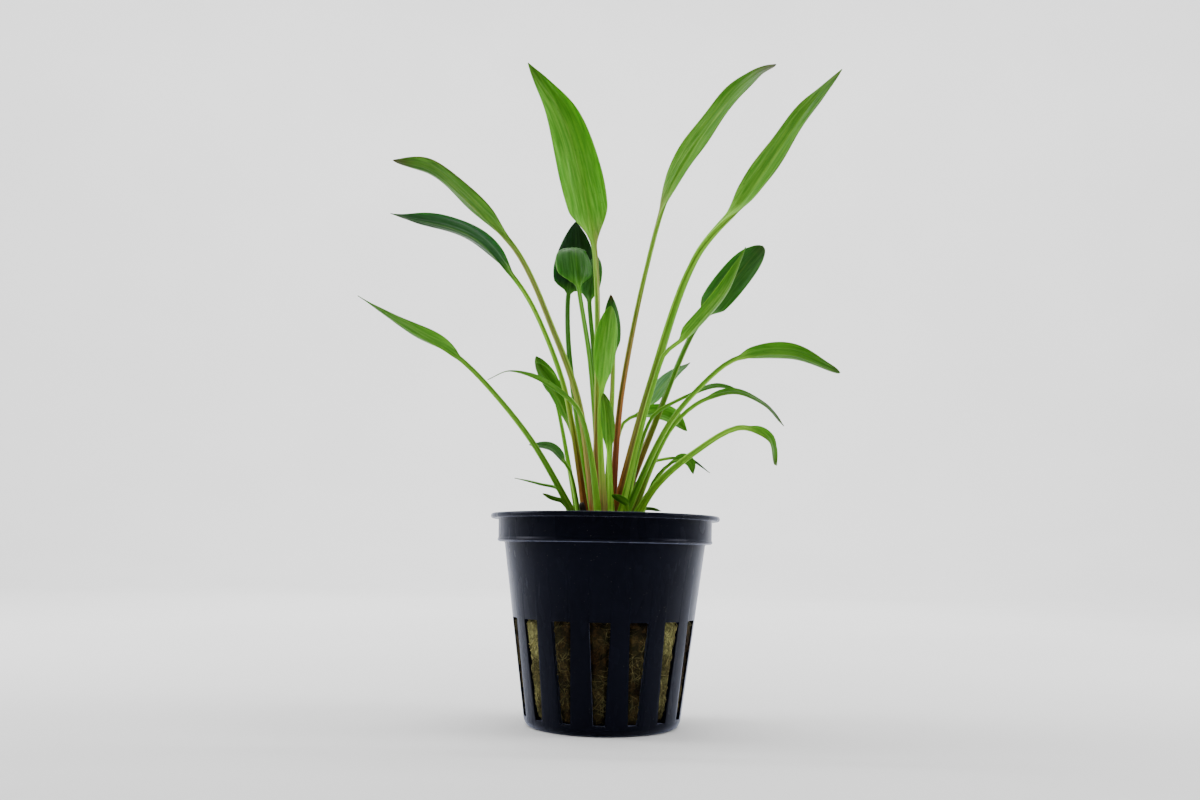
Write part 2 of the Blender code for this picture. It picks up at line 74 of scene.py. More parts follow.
# Each leaf in millimetres: its route from the rootstock to the tip, the length and width of its blade,
# the thickness of its stalk, how far its upper side turns towards the front, in degrees, where along
# its length, from 0 to 1, the blade is widest, how finely its tip is drawn out, from 0.5 for round to 2,
# and over what share of its length the blade's foot opens from the stalk.
# The first two numbers are the stalk's foot in plan; the other points are x, y and z.
Leaf = namedtuple("Leaf", "name foot route blade width stalk turn widest fall shoulder dress")
LEAVES = (
    Leaf("leaf_tall_middle", (-2.2, 2.4),
         ((-2.6, 6, 91), (-3.8, 8, 116.5), (-7.7, 9, 136.5), (-13, 9, 153.5), (-22.5, 9, 168.3)),
         56, 11.4, 1.4, 70, 0.38, 0.95, 0.22, Dress("vivid", "beige", "olive", 0.3, 0.5, 0.35, 0.22, 0.22)),
    Leaf("leaf_tall_right", (1.4, 2.4),
         ((3.7, 3, 81), (12.9, 4, 126.3), (19.3, 3, 140.5), (29.8, 0, 155), (36.5, -1, 161.5),
          (41.5, -2, 163.8)),
         53, 8.2, 1.3, 52, 0.5, 0.6, 0.3, Dress("bright", "red", "olive", 0.65, 0.8, 0.3, 0.12, 0.22)),
    Leaf("leaf_far_right", (1.9, -2.0),
         ((10.5, -3, 81), (20.5, -6, 111), (33.2, -7, 127.3), (46.8, -9, 147.6), (56.4, -10, 159)),
         51, 7.7, 2.1, 57, 0.38, 0.85, 0.26, Dress("bright", "brown", "green", 1.0, 0.4, 0.3, 0.12, 0.22)),
    Leaf("leaf_upper_left", (-2.2, -2.8),
         ((-6.8, -5, 75.5), (-13.2, -6, 92.7), (-22.2, -7, 111.5), (-34, -8, 124), (-43.6, -9, 131.6),
          (-53.2, -10, 133.5)),
         40, 7.8, 1.5, -17, 0.52, 0.75, 0.32, Dress("moss", "brown", "olive", 0.95, 0.8, 0.25, 0.12, 0.22)),
    Leaf("leaf_left_dark", (-4.3, -0.2),
         ((-9.6, -1, 76.5), (-15, -1, 92), (-22, -1, 105), (-34, -1, 117.6), (-55, -1, 123)),
         41, 8.2, 1.3, -18, 0.5, 1.25, 0.28, Dress("blue", "brown", "green", 0.1, 0.2, 0.3, 0.15, 0.22)),
    Leaf("leaf_far_left", (-6.6, -1.3),
         ((-17, -8, 64.8), (-27.4, -12, 77.4), (-36, -15, 85.2), (-45, -19, 89.7), (-57, -23, 96.5)),
         29, 6.0, 1.2, -12, 0.4, 1.9, 0.15, Dress("fresh", "green", "green", 0.4, 0.25, 0.3, 0.1, 0.3)),
    Leaf("leaf_back_left", (-2.6, 5.0),
         ((-9.4, 13, 86), (-10.8, 18, 106), (-9.2, 22, 118), (-9.3, 25, 130)),
         23, 11.0, 1.3, 10, 0.36, 0.9, 0.12, Dress("deep", "green", "shade", 0.0, 0.0, 0.4, 0.1, -0.05)),
    Leaf("leaf_back_arch", (-0.8, 4.0),
         ((-4.2, 8, 86), (-7.7, 11, 107), (-8.9, 12.5, 115), (-9.2, 15, 119.2), (-9, 19, 119.7)),
         17, 10.5, 1.2, 5, 0.42, 1.0, 0.3, Dress("dark", "grass", "shade", 0.0, 0.0, 0.3, 0.12, -0.3)),
    Leaf("leaf_back_right", (-1.0, 5.9),
         ((-3.5, 10, 89.5), (-5.1, 14, 106.5), (-4.2, 17, 114), (-3.3, 20, 119)),
         16, 5.5, 1.2, 10, 0.42, 0.8, 0.2, Dress("dark", "green", "shade", 0.0, 0.0, 0.2, 0.1, 0.22)),
    Leaf("leaf_short_front", (-0.3, -4.6),
         ((-1.7, -5, 70.5), (-1.4, -6, 79), (-0.8, -7, 88), (0.4, -9, 98.5)),
         22, 5.6, 1.2, 0, 0.6, 0.75, 0.3, Dress("vivid", "beige", "grass", 0.1, 0.2, 0.2, 0.1, 0.3)),
    Leaf("leaf_short_back", (0.2, -1.6),
         ((1.2, 0, 80), (1.2, 0, 91), (0.7, -1, 98), (0.4, -2, 103)),
         16, 4.2, 1.1, -25, 0.5, 0.9, 0.3, Dress("dark", "olive", "olive", 0.3, 1.0, 0.2, 0.1, 0.22)),
    Leaf("leaf_young", (1.4, -5.6),
         ((0.9, -6.5, 58), (0.4, -7, 66), (-0.1, -7.5, 72), (-1, -8, 77.5)),
         15, 3.4, 1.0, -25, 0.55, 0.7, 0.3, Dress("bright", "grass", "grass", 0.1, 0.5, 0.1, 0.05, 0.4)),
    Leaf("leaf_right_bright", (3.0, -3.4),
         ((12.8, -9, 86), (17.8, -11, 90.8), (26.8, -15.5, 101.6), (31.5, -18, 111)),
         28, 5.6, 1.0, -12, 0.32, 1.0, 0.15, Dress("bright", "grass", "grass", 0.1, 0.2, 0.2, 0.1, 0.22)),
    Leaf("leaf_right_dark", (2.5, 3.7),
         ((11.5, 6, 71), (21, 10, 95), (27.9, 13, 105.4), (36, 16, 116), (41, 18, 122)),
         29, 8.6, 1.4, 60, 0.5, 0.55, 0.2, Dress("dark", "brown", "moss", 0.1, 0.2, 0.3, 0.12, 0.22)),
    Leaf("leaf_right_arch", (3.9, -0.8),
         ((14, -6, 69.5), (23, -9, 80.5), (30.5, -11, 86), (42, -14, 86.9), (53.5, -16, 82)),
         26, 6.8, 1.2, -22, 0.5, 0.6, 0.18, Dress("fresh", "green", "green", 0.5, 0.3, 0.25, 0.12, 0.22)),
    Leaf("leaf_right_upper_bow", (4.2, 1.6),
         ((10.5, 1, 72.3), (18.5, 0.5, 78), (26, 0, 80.9), (32.5, -1, 80)),
         15, 3.8, 0.9, -4, 0.45, 1.0, 0.3, Dress("fresh", "grass", "green", 0.2, 0.2, 0.2, 0.08, 0.15)),
    Leaf("leaf_right_lower_bow", (5.8, 0.3),
         ((14.2, -2, 68), (21, -4, 75.6), (30, -5.5, 78.8), (37.5, -6.5, 75.8), (42, -7, 70.5)),
         25, 4.8, 1.1, -4, 0.55, 0.6, 0.3, Dress("moss", "olive", "green", 0.2, 0.3, 0.2, 0.08, 0.18)),
    Leaf("leaf_right_droop", (6.4, -1.9),
         ((12, -7, 56.2), (20.7, -12, 63.7), (30, -16.5, 68.8), (36.8, -19.5, 66), (37.7, -21, 60)),
         15, 5.2, 1.4, -24, 0.72, 0.3, 0.5, Dress("bright", "grass", "grass", 0.1, 0.3, 0.2, 0.08, 0.35)),
    Leaf("leaf_low_right_thin", (6.6, 2.4),
         ((9.5, 3.5, 61), (14.5, 4, 63.2), (20.5, 5, 63.5), (25.7, 5.2, 60)),
         12, 2.0, 0.8, 0, 0.5, 1.0, 0.2, Dress("dark", "green", "green", 0.1, 0.2, 0.1, 0.05, 0.22)),
    Leaf("leaf_low_right", (8.0, -0.2),
         ((11.2, -2, 56.5), (14, -3.5, 60.3), (17.5, -5, 62.6), (19.8, -5.6, 61.6), (20.6, -6, 58.8)),
         8, 2.8, 0.9, 50, 0.45, 1.0, 0.2, Dress("fresh", "green", "green", 0.1, 0.2, 0.1, 0.05, 0.22)),
    Leaf("leaf_far_back", (1.4, 6.1),
         ((7, 11, 68.5), (11.5, 15, 79), (15.8, 18, 85.3), (22, 21, 90.5)),
         20, 4.8, 1.0, 30, 0.45, 1.1, 0.2, Dress("hazy", "green", "green", 0.1, 0.6, 0.2, 0.1, 0.22)),
    Leaf("leaf_back_bow", (0.9, 4.0),
         ((3.6, 7, 71.3), (9.5, 9.5, 75.3), (15.5, 10.5, 75), (20.5, 11, 71)),
         17, 5.6, 0.9, -32, 0.5, 0.9, 0.2, Dress("vivid", "grass", "green", 0.1, 0.2, 0.2, 0.08, 0.22)),
    Leaf("leaf_left_inner", (-4.9, 1.6),
         ((-6.6, 2.5, 60), (-8, 3.5, 67.5), (-11.5, 4.5, 77), (-18, 6, 87)),
         22, 5.2, 1.1, 40, 0.62, 0.6, 0.4, Dress("fresh", "pale", "pale", 0.1, 0.2, 0.2, 0.15, 0.45)),
    Leaf("leaf_left_bow", (-1.5, -5.0),
         ((-4, -9, 64.3), (-7.2, -12, 73.5), (-14.5, -16, 78.7), (-22.2, -19, 80.6), (-27.1, -22, 78)),
         23, 2.6, 1.1, 0, 0.3, 1.6, 0.1, Dress("fresh", "grass", "green", 0.1, 0.3, 0.2, 0.08, 0.15)),
    Leaf("leaf_low_left", (-6.0, 0.3),
         ((-8.5, 0.8, 59), (-10.5, 0.8, 62.2), (-13.5, 0, 65), (-18.8, -1, 65.6)),
         11, 5.0, 0.9, 30, 0.5, 0.85, 0.2, Dress("dark", "green", "green", 0.1, 0.3, 0.2, 0.08, 0.22)),
    Leaf("leaf_left_back", (-6.4, 3.0),
         ((-9.8, 7, 64), (-12.4, 9, 76), (-14.7, 11, 83), (-18.5, 13, 90)),
         14, 5.0, 0.9, 30, 0.5, 0.8, 0.25, Dress("fresh", "green", "green", 0.1, 0.2, 0.2, 0.08, 0.22)),
    Leaf("leaf_low_left_thin", (-8.0, 1.9),
         ((-11, 4, 54.9), (-16.8, 6, 56.8), (-22.7, 7, 58)),
         11, 1.6, 0.8, 10, 0.5, 0.9, 0.2, Dress("fresh", "green", "green", 0.2, 0.4, 0.1, 0.05, 0.22)),
    # Painted light: this low blade takes the vivid colour, lighter than its own, to make up for the shade
    # on its underside.
    Leaf("leaf_lowest_left", (-7.9, 0.2),
         ((-9.8, -1, 51.7), (-12.6, -2.5, 52.6), (-15, -4, 53.7)),
         9, 3.2, 0.8, -10, 0.5, 0.7, 0.2, Dress("vivid", "grass", "green", 0.1, 0.2, 0.1, 0.05, 0.22)),
    Leaf("leaf_lowest_right", (8.3, 1.5),
         ((9.3, 2.2, 50.7), (10.9, 2.6, 50.9), (13.6, 2.8, 50.3)),
         7, 3.0, 0.8, 0, 0.5, 0.8, 0.2, Dress("fresh", "green", "green", 0.1, 0.2, 0.1, 0.05, 0.22)),
    Leaf("leaf_small_round", (5.0, 2.8),
         ((6.6, 4.8, 54.8), (8.4, 5.8, 56.8), (10.2, 6, 57.6)),
         6, 3.4, 0.8, 30, 0.5, 0.5, 0.2, Dress("dark", "green", "green", 0.0, 0.0, 0.1, 0.05, 0.1)),
    Leaf("leaf_small_dark", (4.8, -2.2),
         ((4.9, -5.6, 51.4), (3.2, -7.4, 52.6), (1.4, -9, 53.4)),
         6, 2.1, 0.8, -30, 0.5, 0.8, 0.2, Dress("fresh", "green", "green", 0.0, 0.0, 0.1, 0.05, 0.22)),
)

# The leaves that take the darker, glossier finish
DARK_LEAVES = ("leaf_left_dark", "leaf_back_left", "leaf_back_arch", "leaf_back_right", "leaf_right_dark",
               "leaf_short_back", "leaf_far_back", "leaf_left_inner", "leaf_low_left", "leaf_small_dark",
               "leaf_small_round")

# The colour that shares a stalk's sides with its main one
STALK_SIDES = {"green": "shade", "shade": "dark", "grass": "green", "pale": "grass", "olive": "green",
               "moss": "olive", "beige": "rose", "brown": "beige", "red": "rose"}

# The heights where a stalk starts inside its rootstock and where it comes out, in millimetres, how much
# thicker it is at its foot, how soon a red stalk and the others change colour, how far the sheath at the
# foot reaches, and about how far apart the rings of a stalk and of a blade stand
STALK_ROOT = 46.4
STALK_FOOT = 47.3
STALK_FLARE = 0.4
RED_PACE = 1.15
STALK_PACE = 1.6
SHEATH = 6 * MM
STALK_STEP = 2.2 * MM
BLADE_STEP = 0.75 * MM

# Where a blade's side veins run and how wide they are, as shares of its half width
VEIN_PLACES = (0.34, 0.66)
VEIN_WIDTH = 0.045

# How far in from the wall's foot the pot's slots are cut, the rounding of their corners, the width of the
# floor's slots, and the radii where these start and end
SLOT_REACH = 3.3 * MM
SLOT_CORNER = 0.3 * MM
FLOOR_SLOT_WIDTH = 2.2 * MM
FLOOR_SLOT_START = 7.0 * MM
FLOOR_SLOT_END = 14.5 * MM

# How far the wool swells into the slots, over what width the swelling fades, the share of the fibres that
# lie on the plug's top, and the points along one fibre
SWELL = 0.8 * MM
SWELL_EDGE = 0.35 * MM
TOP_FIBRES = 0.24
FIBRE_STEPS = 6

# Points round the pot, the plug and a rootstock
POT_STEPS = 240
WOOL_STEPS = 300
CROWN_STEPS = 48


def linear(code):
    """A colour as linear light, from its six hexadecimal digits."""
    shares = [int(code[i:i + 2], 16) / 255 for i in (0, 2, 4)]
    return tuple(s / 12.92 if s <= 0.04045 else ((s + 0.055) / 1.055) ** 2.4 for s in shares)


def length_of(name, description, millimetres):
    """A length that the user can change, given in millimetres."""
    return FloatProperty(name=name, description=description, default=millimetres * MM, min=0.0,
                         precision=5, unit="LENGTH")


def color_of(name, description, code):
    """A colour that the user can change, given by its six hexadecimal digits."""
    return FloatVectorProperty(name=name, description=description, default=linear(code), size=3, min=0.0,
                               max=1.0, subtype="COLOR")


def count_of(name, description, number):
    """A count that the user can change."""
    return IntProperty(name=name, description=description, default=number, min=1)


def share_of(name, description, value):
    """A share or another plain number that the user can change."""
    return FloatProperty(name=name, description=description, default=value, min=0.0, subtype="FACTOR")


def power_of(name, description, watts):
    """A lamp's power that the user can change."""
    return FloatProperty(name=name, description=description, default=watts, min=0.0, unit="POWER")


class NetPotSettings(bpy.types.PropertyGroup):
    """Sizes and colours of the net pot."""
    collar_radius: length_of("Collar radius", "Radius of the upright collar under the rim", 25.5)
    collar_foot: length_of("Collar foot", "Height of the collar's lower edge", 42.3)
    top_radius: length_of("Top radius", "Radius of the tapering body just under the collar", 24.0)
    base_radius: length_of("Base radius", "Radius of the tapering body at its foot", 18.3)
    wall: length_of("Wall", "Thickness of the wall and the collar", 0.9)
    floor: length_of("Floor", "Thickness of the floor", 1.2)
    rim: length_of("Rim", "Thickness of the rim's flange", 1.2)
    slots: count_of("Slots", "Number of slots round the wall", 15)
    first_slot: share_of("First slot", "Angle of the slot left of the front, in turns from +X", 0.7431)
    slot_foot: length_of("Slot foot", "Height where the slots begin", 2.4)
    slot_head: length_of("Slot head", "Height where the slots end", 24.8)
    slot_foot_width: length_of("Slot foot width", "Width of a slot at its foot", 2.6)
    slot_head_width: length_of("Slot head width", "Width of a slot at its head", 4.8)
    floor_slots: count_of("Floor slots", "Number of slots in the floor", 5)
    edge: length_of("Edge", "Rounding of the slots' edges", 0.14)
    color: color_of("Colour", "Colour of the moulded plastic", "04050b")


class RockWoolSettings(bpy.types.PropertyGroup):
    """Sizes and colours of the rock wool plug."""
    fibres: count_of("Fibres", "Number of loose fibres on the plug", 4200)
    fibre_radius: length_of("Fibre radius", "Radius of one fibre", 0.06)
    fibre_length: length_of("Fibre length", "Length of a middling fibre", 4.5)
    lumps: length_of("Lumps", "Height of the lumps on the plug", 0.32)
    color: color_of("Colour", "Colour of the clean wool", "7b794a")
    stain_and_shade: color_of("Stain", "Colour of the wool where it is stained", "160e05")
    fibre: color_of("Fibre", "Colour of the pale loose fibres", "c2ba7c")


class CrownSettings(bpy.types.PropertyGroup):
    """Sizes and colours of the rootstocks."""
    lumps: length_of("Lumps", "Height of the lumps on a rootstock", 0.25)
    roots: count_of("Roots", "Number of roots from each rootstock", 9)
    root_radius: length_of("Root radius", "Radius of one root", 0.28)
    color: color_of("Colour", "Colour of the rootstock's skin", "6b5a2c")
    root: color_of("Root", "Colour of the roots", "b8a988")
    dead: color_of("Dead stalk", "Colour of the stump of an old stalk", "1c150f")


class LeafSettings(bpy.types.PropertyGroup):
    """Sizes and colours that the leaves share."""
    thickness: length_of("Thickness", "Thickness of a blade away from its midrib", 0.3)
    vein: length_of("Vein", "Depth of the side veins on the upper side", 0.05)
    vivid: color_of("Vivid", "Colour of the brightest blades", "66ae2e")
    bright: color_of("Bright", "Colour of bright blades", "548e22")
    fresh: color_of("Fresh", "Colour of fresh green blades", "49841c")
    moss: color_of("Moss", "Colour of olive green blades", "4a7e20")
    blue: color_of("Blue", "Colour of the bluish dark blade", "22501f")
    hazy: color_of("Hazy", "Colour of the hazy blade at the back", "4c8040")
    dark: color_of("Dark", "Colour of dark blades", "2d611b")
    deep: color_of("Deep", "Colour of the darkest blades", "0f2c0f")
    # Painted light: the stalk colours below are set lighter than the stalks' own colours, to stand in for
    # the weak light on them from the front.
    green: color_of("Green stalk", "Colour of green stalks", "84bf3a")
    grass: color_of("Grass stalk", "Colour of bright green stalks", "90d43c")
    pale: color_of("Pale stalk", "Colour of pale green stalks", "c8e084")
    shade: color_of("Shade", "Colour of the shaded side of green stalks", "5b942a")
    olive: color_of("Olive stalk", "Colour of olive stalks", "869146")
    beige: color_of("Beige stalk", "Colour of the lit side of brown stalks", "b39c5f")
    brown: color_of("Brown stalk", "Colour of brown stalks", "8a4a25")
    red: color_of("Red stalk", "Colour of red stalks", "8e3425")
    rose: color_of("Rose stalk", "Colour of the lit side of red stalks", "a2523f")
    margin: color_of("Margin", "Colour of browned margins", "4a2c1a")
    tip: color_of("Tip", "Colour of browned tips", "3a2812")


class StageSettings(bpy.types.PropertyGroup):
    """Floor, lights and camera."""
    floor_color: color_of("Floor colour", "Colour of the floor and the wall round it", "dcdcdc")
    side_power: power_of("Side power", "Power of each side lamp", 2.9)
    top_power: power_of("Top power", "Power of the top lamp", 1.9)
    back_power: power_of("Back power", "Power of the lamp on the wall at the back", 40.0)
    front_power: power_of("Front power", "Power of the lamp on the wall at the front", 0.6)
    sky: share_of("Sky", "Strength of the even light from all round", 0.035)
    lens: length_of("Lens", "Focal length of the camera on a 36 mm sensor", 32.18)
    camera_distance: length_of("Camera distance", "From the pot's axis to the camera", 259.9)
    camera_height: length_of("Camera height", "Height of the camera over the floor", 39.56)
    camera_side: FloatProperty(name="Camera side", description="The camera's offset along X",
                               default=-1.79 * MM, precision=5, unit="LENGTH")
    camera_pitch: FloatProperty(name="Camera pitch", description="How far the camera looks up",
                                default=0.143, subtype="ANGLE", unit="ROTATION")
    camera_roll: FloatProperty(name="Camera roll", description="How far the camera leans",
                               default=0.018, subtype="ANGLE", unit="ROTATION")


class PlantSettings(bpy.types.PropertyGroup):
    """All the settings, one group for each kind of piece."""
    pot: PointerProperty(type=NetPotSettings, name="Net pot", description="The net pot")
    wool: PointerProperty(type=RockWoolSettings, name="Rock wool", description="The rock wool")
    crowns: PointerProperty(type=CrownSettings, name="Rootstocks", description="The rootstocks")
    leaves: PointerProperty(type=LeafSettings, name="Leaves", description="The leaves")
    stage: PointerProperty(type=StageSettings, name="Stage", description="Floor, lights and camera")


class Finish:
    """A material's node tree, with short calls for the nodes that these finishes need."""

    def __init__(self, name):
        self.material = bpy.data.materials.new(name)
        self.material.use_nodes = True
        self.tree = self.material.node_tree
        self.shader = self.tree.nodes["Principled BSDF"]
        self.place = self.add("TexCoord", output="Object")

    def feed(self, socket, value):
        """Links a socket to another node's output, or sets its value."""
        if isinstance(value, bpy.types.NodeSocket):
            self.tree.links.new(value, socket)
        elif socket.type == "RGBA" and len(value) == 3:
            socket.default_value = (*value, 1.0)
        else:
            socket.default_value = value

    def add(self, kind, inputs=None, output=0, **settings):
        """Adds a node and gives one of its outputs."""
        node = self.tree.nodes.new("ShaderNode" + kind)
        for key, value in settings.items():
            setattr(node, key, value)
        for key, value in (inputs or {}).items():
            self.feed(node.inputs[key], value)
        return node.outputs[output]

    def set(self, **inputs):
        """Feeds the shader's own sockets, named with underscores for spaces."""
        for key, value in inputs.items():
            self.feed(self.shader.inputs[key.replace("_", " ")], value)

    def mapped(self, vector, stretch):
        """Where a pattern is read: a vector or the object's own space, stretched."""
        return self.add("Mapping", {"Vector": vector or self.place, "Scale": stretch})

    def noise(self, scale, detail, vector=None, stretch=(1, 1, 1), distortion=0.0):
        """Soft noise with this many lumps to the metre, or to the vector's own unit."""
        return self.add("TexNoise", {"Vector": self.mapped(vector, stretch), "Scale": scale,
                                     "Detail": detail, "Distortion": distortion})

    def cells(self, vector, stretch):
        """Distance to the nearest edge between cells that are a unit across."""
        return self.add("TexVoronoi", {"Vector": self.mapped(vector, stretch), "Scale": 1.0},
                        output="Distance", feature="DISTANCE_TO_EDGE")

    def span(self, value, low, high, to_low=0.0, to_high=1.0):
        """Maps a value from one span smoothly to another, and holds it there."""
        return self.add("MapRange", {"Value": value, "From Min": low, "From Max": high,
                                     "To Min": to_low, "To Max": to_high},
                        interpolation_type="SMOOTHSTEP")

    def sum(self, operation, a, b=0.0):
        """One step of arithmetic."""
        return self.add("Math", {0: a, 1: b}, operation=operation)

    def times(self, a, b):
        """The product of two values."""
        return self.sum("MULTIPLY", a, b)

    def mix(self, factor, a, b, blend="MIX"):
        """Mixes two colours."""
        return self.add("Mix", {0: factor, 6: a, 7: b}, output=2, data_type="RGBA", blend_type=blend)

    def tinted(self, a, b):
        """The product of two colours."""
        return self.mix(1.0, a, b, blend="MULTIPLY")

    def bump(self, height, distance, strength, normal=None):
        """Tilts the normal by a height whose full step is this far, in metres."""
        inputs = {"Height": height, "Distance": distance, "Strength": strength}
        if normal is not None:
            inputs["Normal"] = normal
        return self.add("Bump", inputs)


def toned(color, factor):
    """The same colour, darker or lighter."""
    return tuple(c * factor for c in color)


def add_object(name, data):
    """Puts a mesh, a lamp or a camera in the scene."""
    item = bpy.data.objects.new(name, data)
    bpy.context.scene.collection.objects.link(item)
    return item


def add_piece(name, mesh, material, slot, *nodes):
    """Adds a mesh as a piece that rides on the plant and stands for CAD nodes, if any are named."""
    piece = add_object(name, mesh)
    mesh.materials.append(material)
    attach(piece, "root")
    if nodes:
        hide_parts(*nodes)


def new_mesh(name, points, faces):
    """A smooth-shaded mesh from points and faces."""
    mesh = bpy.data.meshes.new(name)
    mesh.from_pydata(points, [], faces)
    mesh.shade_smooth()
    return mesh


def evaluated_mesh(item, name):
    """The item's mesh with its modifiers applied; the item itself is removed."""
    depsgraph = bpy.context.evaluated_depsgraph_get()
    mesh = bpy.data.meshes.new_from_object(item.evaluated_get(depsgraph))
    mesh.name = name
    bpy.data.objects.remove(item, do_unlink=True)
    return mesh


def tube_faces(rows, count):
    """Faces between each ring of points and the next, and one face that closes each end."""
    sides = [(low + k, low + (k + 1) % count, low + count + (k + 1) % count, low + count + k)
             for low in range(0, (rows - 1) * count, count) for k in range(count)]
    return sides + [tuple(range(count))[::-1], tuple(range((rows - 1) * count, rows * count))]


def rounded(corners, steps=5):
    """An outline through corners of (radius, height, rounding), each corner cut round."""
    line = [corners[0][:2]]
    for before, corner, after in zip(corners, corners[1:], corners[2:]):
        here = Vector(corner[:2])
        reach = corner[2]
        if reach <= 0:
            line.append(tuple(here))
            continue
        start = here + (Vector(before[:2]) - here).normalized() * reach
        end = here + (Vector(after[:2]) - here).normalized() * reach
        for i in range(steps + 1):
            t = i / steps
            line.append(tuple(start * (1 - t) ** 2 + here * (2 * t * (1 - t)) + end * t ** 2))
    return line + [corners[-1][:2]]


def subdivided(line, spacing):
    """The same outline with points no further apart than the spacing."""
    fine = [line[0]]
    for a, b in zip(line, line[1:]):
        steps = max(1, math.ceil(math.dist(a, b) / spacing))
        fine += [(a[0] + (b[0] - a[0]) * i / steps, a[1] + (b[1] - a[1]) * i / steps)
                 for i in range(1, steps + 1)]
    return fine


def turned_mesh(name, outline, steps, closed=True):
    """A mesh turned about the Z axis from an outline that starts on the axis, and if closed ends on it."""
    poles, rings = ((outline[0], outline[-1]), outline[1:-1]) if closed else (outline[:1], outline[1:])
    angles = [math.tau * k / steps for k in range(steps)]
    points = [(0.0, 0.0, height) for _, height in poles]
    first = len(points)
    points += [(radius * math.cos(a), radius * math.sin(a), height) for radius, height in rings
               for a in angles]
    last = len(points) - steps
    faces = []
    for k in range(steps):
        n = (k + 1) % steps
        faces.append((0, first + k, first + n))
        if closed:
            faces.append((1, last + n, last + k))
        faces += [(low + k, low + steps + k, low + steps + n, low + n)
                  for low in range(first, last, steps)]
    return new_mesh(name, points, faces)


def pot_outline(pot):
    """The net pot's section: inside from the floor's centre to the rim, then down the outside."""
    top = POT_HIGH.z
    inner_foot = pot.base_radius - pot.wall
    bead = 0.25 * MM
    corners = [
        (0.0, pot.floor, 0),
        (inner_foot - 0.6 * MM, pot.floor, 0.8 * MM),
        (pot.top_radius - pot.wall, pot.collar_foot - pot.wall, 0.5 * MM),
        (pot.collar_radius - pot.wall, pot.collar_foot + pot.wall / 2, 0.5 * MM),
        (pot.collar_radius - pot.wall, top - 0.2 * MM, 0.2 * MM),
        (RIM_RADIUS - 0.3 * MM, top, 0.3 * MM),
        (RIM_RADIUS, top - pot.rim / 2, 0.3 * MM),
        (RIM_RADIUS - 0.3 * MM, top - pot.rim, 0.25 * MM),
        (pot.collar_radius + 0.1 * MM, top - pot.rim * 0.9, 0.35 * MM),
        (pot.collar_radius, pot.collar_foot + 0.9 * MM, 0.3 * MM),
        (pot.collar_radius + bead, pot.collar_foot + 0.4 * MM, 0.2 * MM),
        (pot.collar_radius - 0.1 * MM, pot.collar_foot, 0.2 * MM),
        (pot.top_radius, pot.collar_foot - 0.1 * MM, 0.35 * MM),
        (pot.base_radius, 1.3 * MM, 0.5 * MM),
        (pot.base_radius - 0.6 * MM, 0.3 * MM, 0.3 * MM),
        (pot.base_radius - 1.4 * MM, 0.0, 0.3 * MM),
        (pot.base_radius - 2.6 * MM, 0.0, 0.2 * MM),
        (pot.base_radius - 3.0 * MM, 0.3 * MM, 0.2 * MM),
        (0.0, 0.3 * MM, 0),
    ]
    return rounded(corners)


def wedge(bm, angle, foot, head, foot_width, head_width, inner, outer):
    """Adds an upright tapering block that reaches from one radius to another."""
    turn = Matrix.Rotation(angle, 4, "Z")
    for vert in bmesh.ops.create_cube(bm, size=1.0)["verts"]:
        height, width = (head, head_width) if vert.co.z > 0 else (foot, foot_width)
        vert.co = turn @ Vector((outer if vert.co.x > 0 else inner, vert.co.y * width, height))


def build_pot(pot):
    """The moulded net pot, with its slots cut and their edges eased."""
    item = add_object("pot_blank", turned_mesh("pot_blank", pot_outline(pot), POT_STEPS))
    bm = bmesh.new()
    for i in range(pot.slots):
        angle = math.tau * (pot.first_slot + i / pot.slots)
        wedge(bm, angle, pot.slot_foot, pot.slot_head, pot.slot_foot_width, pot.slot_head_width,
              pot.base_radius - SLOT_REACH, RIM_RADIUS)
    for i in range(pot.floor_slots):
        wedge(bm, math.tau * i / pot.floor_slots, -pot.floor, pot.floor * 2, FLOOR_SLOT_WIDTH,
              FLOOR_SLOT_WIDTH, FLOOR_SLOT_START, FLOOR_SLOT_END)
    bmesh.ops.bevel(bm, geom=bm.edges[:], offset=SLOT_CORNER, segments=3, affect="EDGES", profile=0.5)
    mesh = bpy.data.meshes.new("slot_blank")
    bm.to_mesh(mesh)
    bm.free()
    cutter = add_object("slot_blank", mesh)
    cut = item.modifiers.new("slots", "BOOLEAN")
    cut.operation = "DIFFERENCE"
    cut.object = cutter
    ease = item.modifiers.new("edges", "BEVEL")
    ease.width = pot.edge
    ease.segments = 2
    ease.limit_method = "ANGLE"
    ease.angle_limit = math.radians(50)
    mesh = evaluated_mesh(item, "net_pot")
    bpy.data.objects.remove(cutter, do_unlink=True)
    mesh.shade_smooth()
    mesh.set_sharp_from_angle(angle=math.radians(40))
    return mesh


def pot_finish(pot):
    """Near-black moulded plastic with a cool sheen, lightly scuffed and dusty."""
    look = Finish("pot_plastic")
    clouds = look.noise(55, detail=4)
    scuffs = look.noise(240, detail=6, stretch=(1, 1, 0.25), distortion=0.6)
    specks = look.span(look.noise(2600, detail=1), 0.74, 0.8)
    color = look.mix(look.span(clouds, 0.3, 0.75), pot.color, toned(pot.color, 1.7))
    dust = linear("8d8a78")
    color = look.mix(look.times(specks, 0.12), color, dust)
    rough = look.span(scuffs, 0.35, 0.75, 0.2, 0.33)
    peel = look.bump(look.noise(700, detail=2), 0.04 * MM, 0.5)
    peel = look.bump(look.noise(160, detail=2), 0.12 * MM, 0.35, peel)
    look.set(Base_Color=color, Roughness=rough, Normal=peel, Specular_IOR_Level=0.045,
             Specular_Tint=(0.6, 0.62, 1.0, 1.0), Sheen_Weight=0.5, Sheen_Roughness=0.35,
             Sheen_Tint=(0.6, 0.68, 1.0, 1.0))
    return look.material


